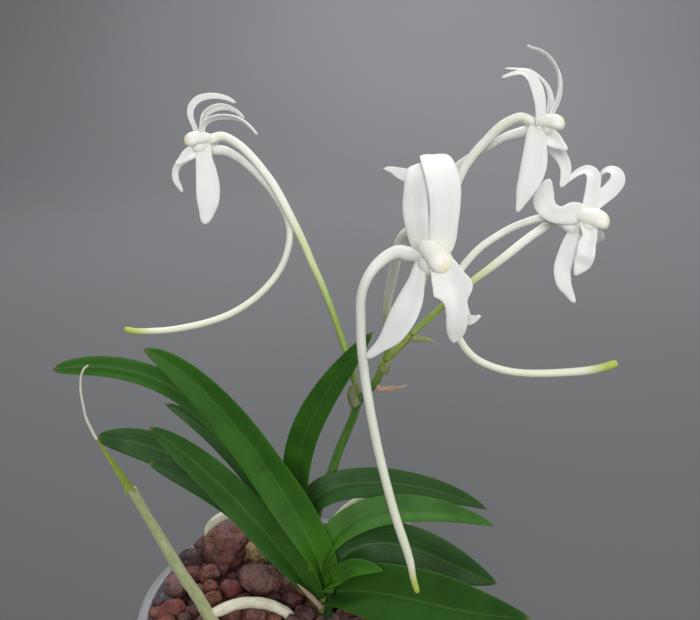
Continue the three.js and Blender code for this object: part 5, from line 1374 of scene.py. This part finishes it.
def organ_line(flower, points, root=0.2):
    """Middle line and half widths of a tepal or lip, rooted in the top of the ovary."""
    points = np.array(points, float)
    # a blunt tip: at least two thirds as wide as the point before it, and 0.42 mm or nearly so
    points[-1, 3] = max(points[-1, 3], 0.66 * points[-2, 3], min(0.85 * points[-2, 3], 0.42))
    first = points[0] * np.array([root, root, root, 0.8])
    first[:3] += 0.25 * floral_axes(flower)[0]
    points = np.vstack([first, points])
    points[:, :3] += flower["middle"]
    line = spline(points, STEPS["tepal"])
    return line[:, :3], np.maximum(line[:, 3], 0.06)


def build_tepal(place_name, flower, name, material, seed):
    looks, points = flower["tepals"][name]
    path, half = organ_line(flower, points)
    shares = shares_of(path)

    def ripple(share, s):
        wave = np.sin(share * 7.5 + seed) * 0.6 + np.sin(share * 15 + 2.3 * seed) * 0.3
        return 0.05 * wave * s * np.abs(s)

    # narrow tepals are hollow in front, wide ones bulge a little
    Body("along", "side", "tone").add_blade(
        path, carried_normals(path, looks), half * np.sqrt(1.01 - shares**24), ripple=ripple,
        fold=mix(14, 8, shares), cup=0.1 if half.max() < 1.5 else -0.12,
        thick=0.55 * mix(1, 0.6, shares), keel=0.1, tone=seed * 0.7,
    ).put(f"flower_{place_name}_{name}", "petal_white", material)


def build_lip_and_spur(place_name, flower, material):
    """The tongue-shaped lip, the long spur behind it and the two side lobes at its base."""
    looks, points = flower["lip"]
    path, half = organ_line(flower, points, root=0.5)
    shares = shares_of(path)
    body = Body("along", "spur")
    body.add_blade(
        path, carried_normals(path, looks), half * np.sqrt(1.01 - shares**20), fold=mix(20, 6, shares),
        cup=mix(0.2, -0.1, shares), thick=0.6 * mix(1.1, 0.7, shares), keel=0.15, count=19,
    )
    route = spline((path[0], *flower["spur"]), STEPS["spur"])
    run = shares_of(route)
    girth = SPUR_RADIUS * mix(1.75, 1, ease(run, 0, 0.2)) + flower["swell"] * ease(run, 0.75, 0.92)
    girth = rounded_ends(girth * mix(1, flower["spur_end"], ease(run, 0.8, 1)), start=2, end=2)
    body.add(tube_rings(route, girth, AROUND["spur"], rough=0.03), along=0.6, spur=run[:, None])
    forward, top, right = floral_axes(flower)
    size = flower["column"]
    for side in (-1, 1):
        lobe = np.asarray(flower["middle"], float) + size * (1.3 * forward + side * 0.75 * right - 1.4 * top)
        body.add(egg(lobe, forward, top, right, (1.3 * size, 1.15 * size, 0.7 * size)), along=0.13)
    body.put(f"flower_{place_name}_lip_and_spur", "petal_white", material)


# Rings of the column: how far ahead of the ovary, half width and half height.
COLUMN_RINGS = (
    (-0.9, 0.95, 0.95), (0.1, 1.3, 1.25), (1.2, 1.5, 1.35), (2.1, 1.75, 1.5), (2.7, 1.7, 1.45),
    (3.2, 1.45, 1.25), (3.6, 1.0, 0.85), (3.8, 0.25, 0.2),
)


def build_column(place_name, flower, material):
    """Short column that bends down a little, wider below, with a rounded cap at its end."""
    forward, top, right = floral_axes(flower)
    start = np.asarray(flower["middle"], float) + 0.05 * forward
    turn, rows = turns(AROUND["column"]), STEPS["column"]
    lower = np.where(np.sin(turn) < 0, 0.8, 1.0)
    rings = []
    for ahead, wide, tall in COLUMN_RINGS:
        flare = 1 - 0.22 * np.sin(turn) * ease(ahead, 0, 2)
        middle = ahead * forward + (0.15 - 0.5 * ease(ahead, 0.8, 3.8)) * top
        aside = np.outer(wide * flare * np.cos(turn), right)
        height = np.outer(tall * lower * np.sin(turn), top)
        rings.append(start + flower["column"] * (middle + aside + height))
    body = Body("cap")
    body.add(smoothed(np.array(rings), rows), cap=ease(np.linspace(0, 1, rows), 0.6, 1)[:, None])
    body.put(f"flower_{place_name}_column", "column_cream", material)


def smoothed(rings, rows):
    """Rings drawn smoothly through a few given ones."""
    at = np.linspace(0, len(rings) - 1, rows)
    low = np.minimum(at.astype(int), len(rings) - 2)
    t = (at - low)[:, None, None]
    t = t * t * (3 - 2 * t) * 0.5 + t * 0.5
    return rings[low] * (1 - t) + rings[low + 1] * t


def egg(middle, forward, top, right, half):
    """Rings of a rounded body: half sizes along, up and aside."""
    turn = turns(AROUND["egg"])
    outline = np.outer(half[2] * np.cos(turn), right) + np.outer(half[1] * np.sin(turn), top)
    return np.array([
        middle - half[0] * math.cos(a) * forward + math.sin(a) * outline
        for a in np.linspace(0.06, np.pi - 0.06, 15)
    ])


def build_pedicel(place_name, flower, material):
    """A ribbed flower stalk, widening through the ovary to the ring that carries the flower."""
    forward, top, right = floral_axes(flower)
    middle = np.asarray(flower["middle"], float)
    path = spline((*flower["pedicel"], middle - 0.9 * forward, middle), STEPS["pedicel"])
    shares = shares_of(path)
    radius = mix(*PEDICEL_RADIUS, ease(shares, 0.25, 0.7)) + 0.3 * np.exp(-((shares / 0.02) ** 2))
    radius = mix(radius, RECEPTACLE_RADIUS, ease(shares, 0.93, 1))
    radius = rounded_ends(radius, start=2)
    fade = ease(shares, flower["green"] - 0.3, flower["green"] + 0.3)
    body = Body(*STALK_LAYERS).add_stalk(
        path, radius, AROUND["pedicel"], ribs=6, rib_depth=0.035, rough=0.02, fade=fade[:, None],
    )
    body.add(egg(middle + 0.2 * forward, forward, top, right, (0.7, 1.05, 1.05)), along=1.0, fade=1.0)
    body.put(f"pedicel_{place_name}", "flower_stalk", material)


def build_flowers(tepal_material, lip_material, column_material, pedicel_material):
    seed = 0
    for place_name, flower in FLOWERS.items():
        build_pedicel(place_name, flower, pedicel_material)
        for name in flower["tepals"]:
            seed += 1
            build_tepal(place_name, flower, name, tepal_material, seed)
        build_lip_and_spur(place_name, flower, lip_material)
        build_column(place_name, flower, column_material)


# ------------------------------------------------------------------ studio, in metres

CAMERA_PLACE = (0.013, -0.118, 0.177)
CAMERA_DOWN = 20.0  # degrees below level
CAMERA_LENS = 37.13  # millimetres, as is the sensor's width
SENSOR_WIDTH = 36

PLANT_MIDDLE = (0.01, 0.0, 0.11)
# Lights: where they stand, where they aim, their width, power and colour.
LIGHTS = {
    "key": ((-0.05, -0.75, 0.62), PLANT_MIDDLE, 0.55, 5.0, (1.0, 0.985, 0.955)),
    "fill": ((0.7, -0.35, 0.4), PLANT_MIDDLE, 0.6, 1.8, (1, 1, 1)),
    "back": ((-0.3, 0.55, 0.65), PLANT_MIDDLE, 0.5, 1.7, (1, 1, 1)),
    "backdrop": ((0.2, 0.8, 1.2), (0.2, 1.5, 0.3), 0.8, 34.0, (1, 1, 1)),
}
SKY = (0.96, 0.98, 1.0, 1)
SKY_STRENGTH = 0.33

# The floor ends in front, sweeps up at the back and goes on as a wall.
FLOOR_FRONT, FLOOR_BACK, SWEEP_RADIUS, WALL_TOP, STAGE_HALF_WIDTH = -2.0, 0.9, 0.5, 2.2, 3.0


def build_camera():
    data = bpy.data.cameras.new("camera")
    data.lens = CAMERA_LENS
    data.sensor_width = SENSOR_WIDTH
    data.clip_start = 0.01
    camera = link("camera", data)
    camera.location = CAMERA_PLACE
    camera.rotation_euler = (math.radians(90 - CAMERA_DOWN), 0, 0)
    bpy.context.scene.camera = camera


def build_stage(material):
    """Plain floor that sweeps up into a backdrop."""
    section = [(FLOOR_FRONT, 0.0), (FLOOR_BACK, 0.0)]
    for angle in np.radians(np.linspace(6, 90, 15)):
        ahead, height = SWEEP_RADIUS * math.sin(angle), SWEEP_RADIUS * (1 - math.cos(angle))
        section.append((FLOOR_BACK + ahead, height))
    section.append((FLOOR_BACK + SWEEP_RADIUS, WALL_TOP))
    points = [(side * STAGE_HALF_WIDTH, y, z) for y, z in section for side in (-1, 1)]
    faces = [(2 * k, 2 * k + 1, 2 * k + 3, 2 * k + 2) for k in range(len(section) - 1)]
    mesh = bpy.data.meshes.new("floor")
    mesh.from_pydata(points, [], faces)
    mesh.materials.append(material)
    shade_smooth(mesh)
    floor = link("floor", mesh)


def build_lights():
    for name, (stands, aims, size, power, colour) in LIGHTS.items():
        data = bpy.data.lights.new(name, "AREA")
        data.shape, data.size, data.energy, data.color = "DISK", size, power, colour
        light = link(name, data)
        light.location = stands
        light.rotation_euler = (Vector(aims) - Vector(stands)).to_track_quat("-Z", "Y").to_euler()
    world = bpy.data.worlds.new("studio")
    world.use_nodes = True
    sky = world.node_tree.nodes["Background"]
    sky.inputs["Color"].default_value = SKY
    sky.inputs["Strength"].default_value = SKY_STRENGTH
    bpy.context.scene.world = world
    bpy.context.scene.view_settings.view_transform = "Standard"


# ------------------------------------------------------------------ putting it together

build_camera()
build_pot(pot_look())
build_pebbles(stone_look())
leaf_material = leaf_look()
for leaf, form in LEAVES.items():
    build_leaf(leaf_material, leaf, *form)
build_side_shoot(leaf_material)
stem_material = stalk_look("stem_green", (0.048, 0.175, 0.012), (0.30, 0.38, 0.05), (0.5, 0.6, 0.3))
build_stems(stem_material)
build_flower_stem(stem_material)
root_material = root_look()
build_roots(root_material)
build_aerial_root(root_material)
build_dry_pieces(dry_look())
build_flowers(
    petal_look(), lip_look(), column_look(),
    stalk_look("flower_stalk", (0.27, 0.40, 0.06), (0.62, 0.70, 0.38), (0.90, 0.91, 0.84), 0.35),
)
build_stage(studio_look())
build_lights()
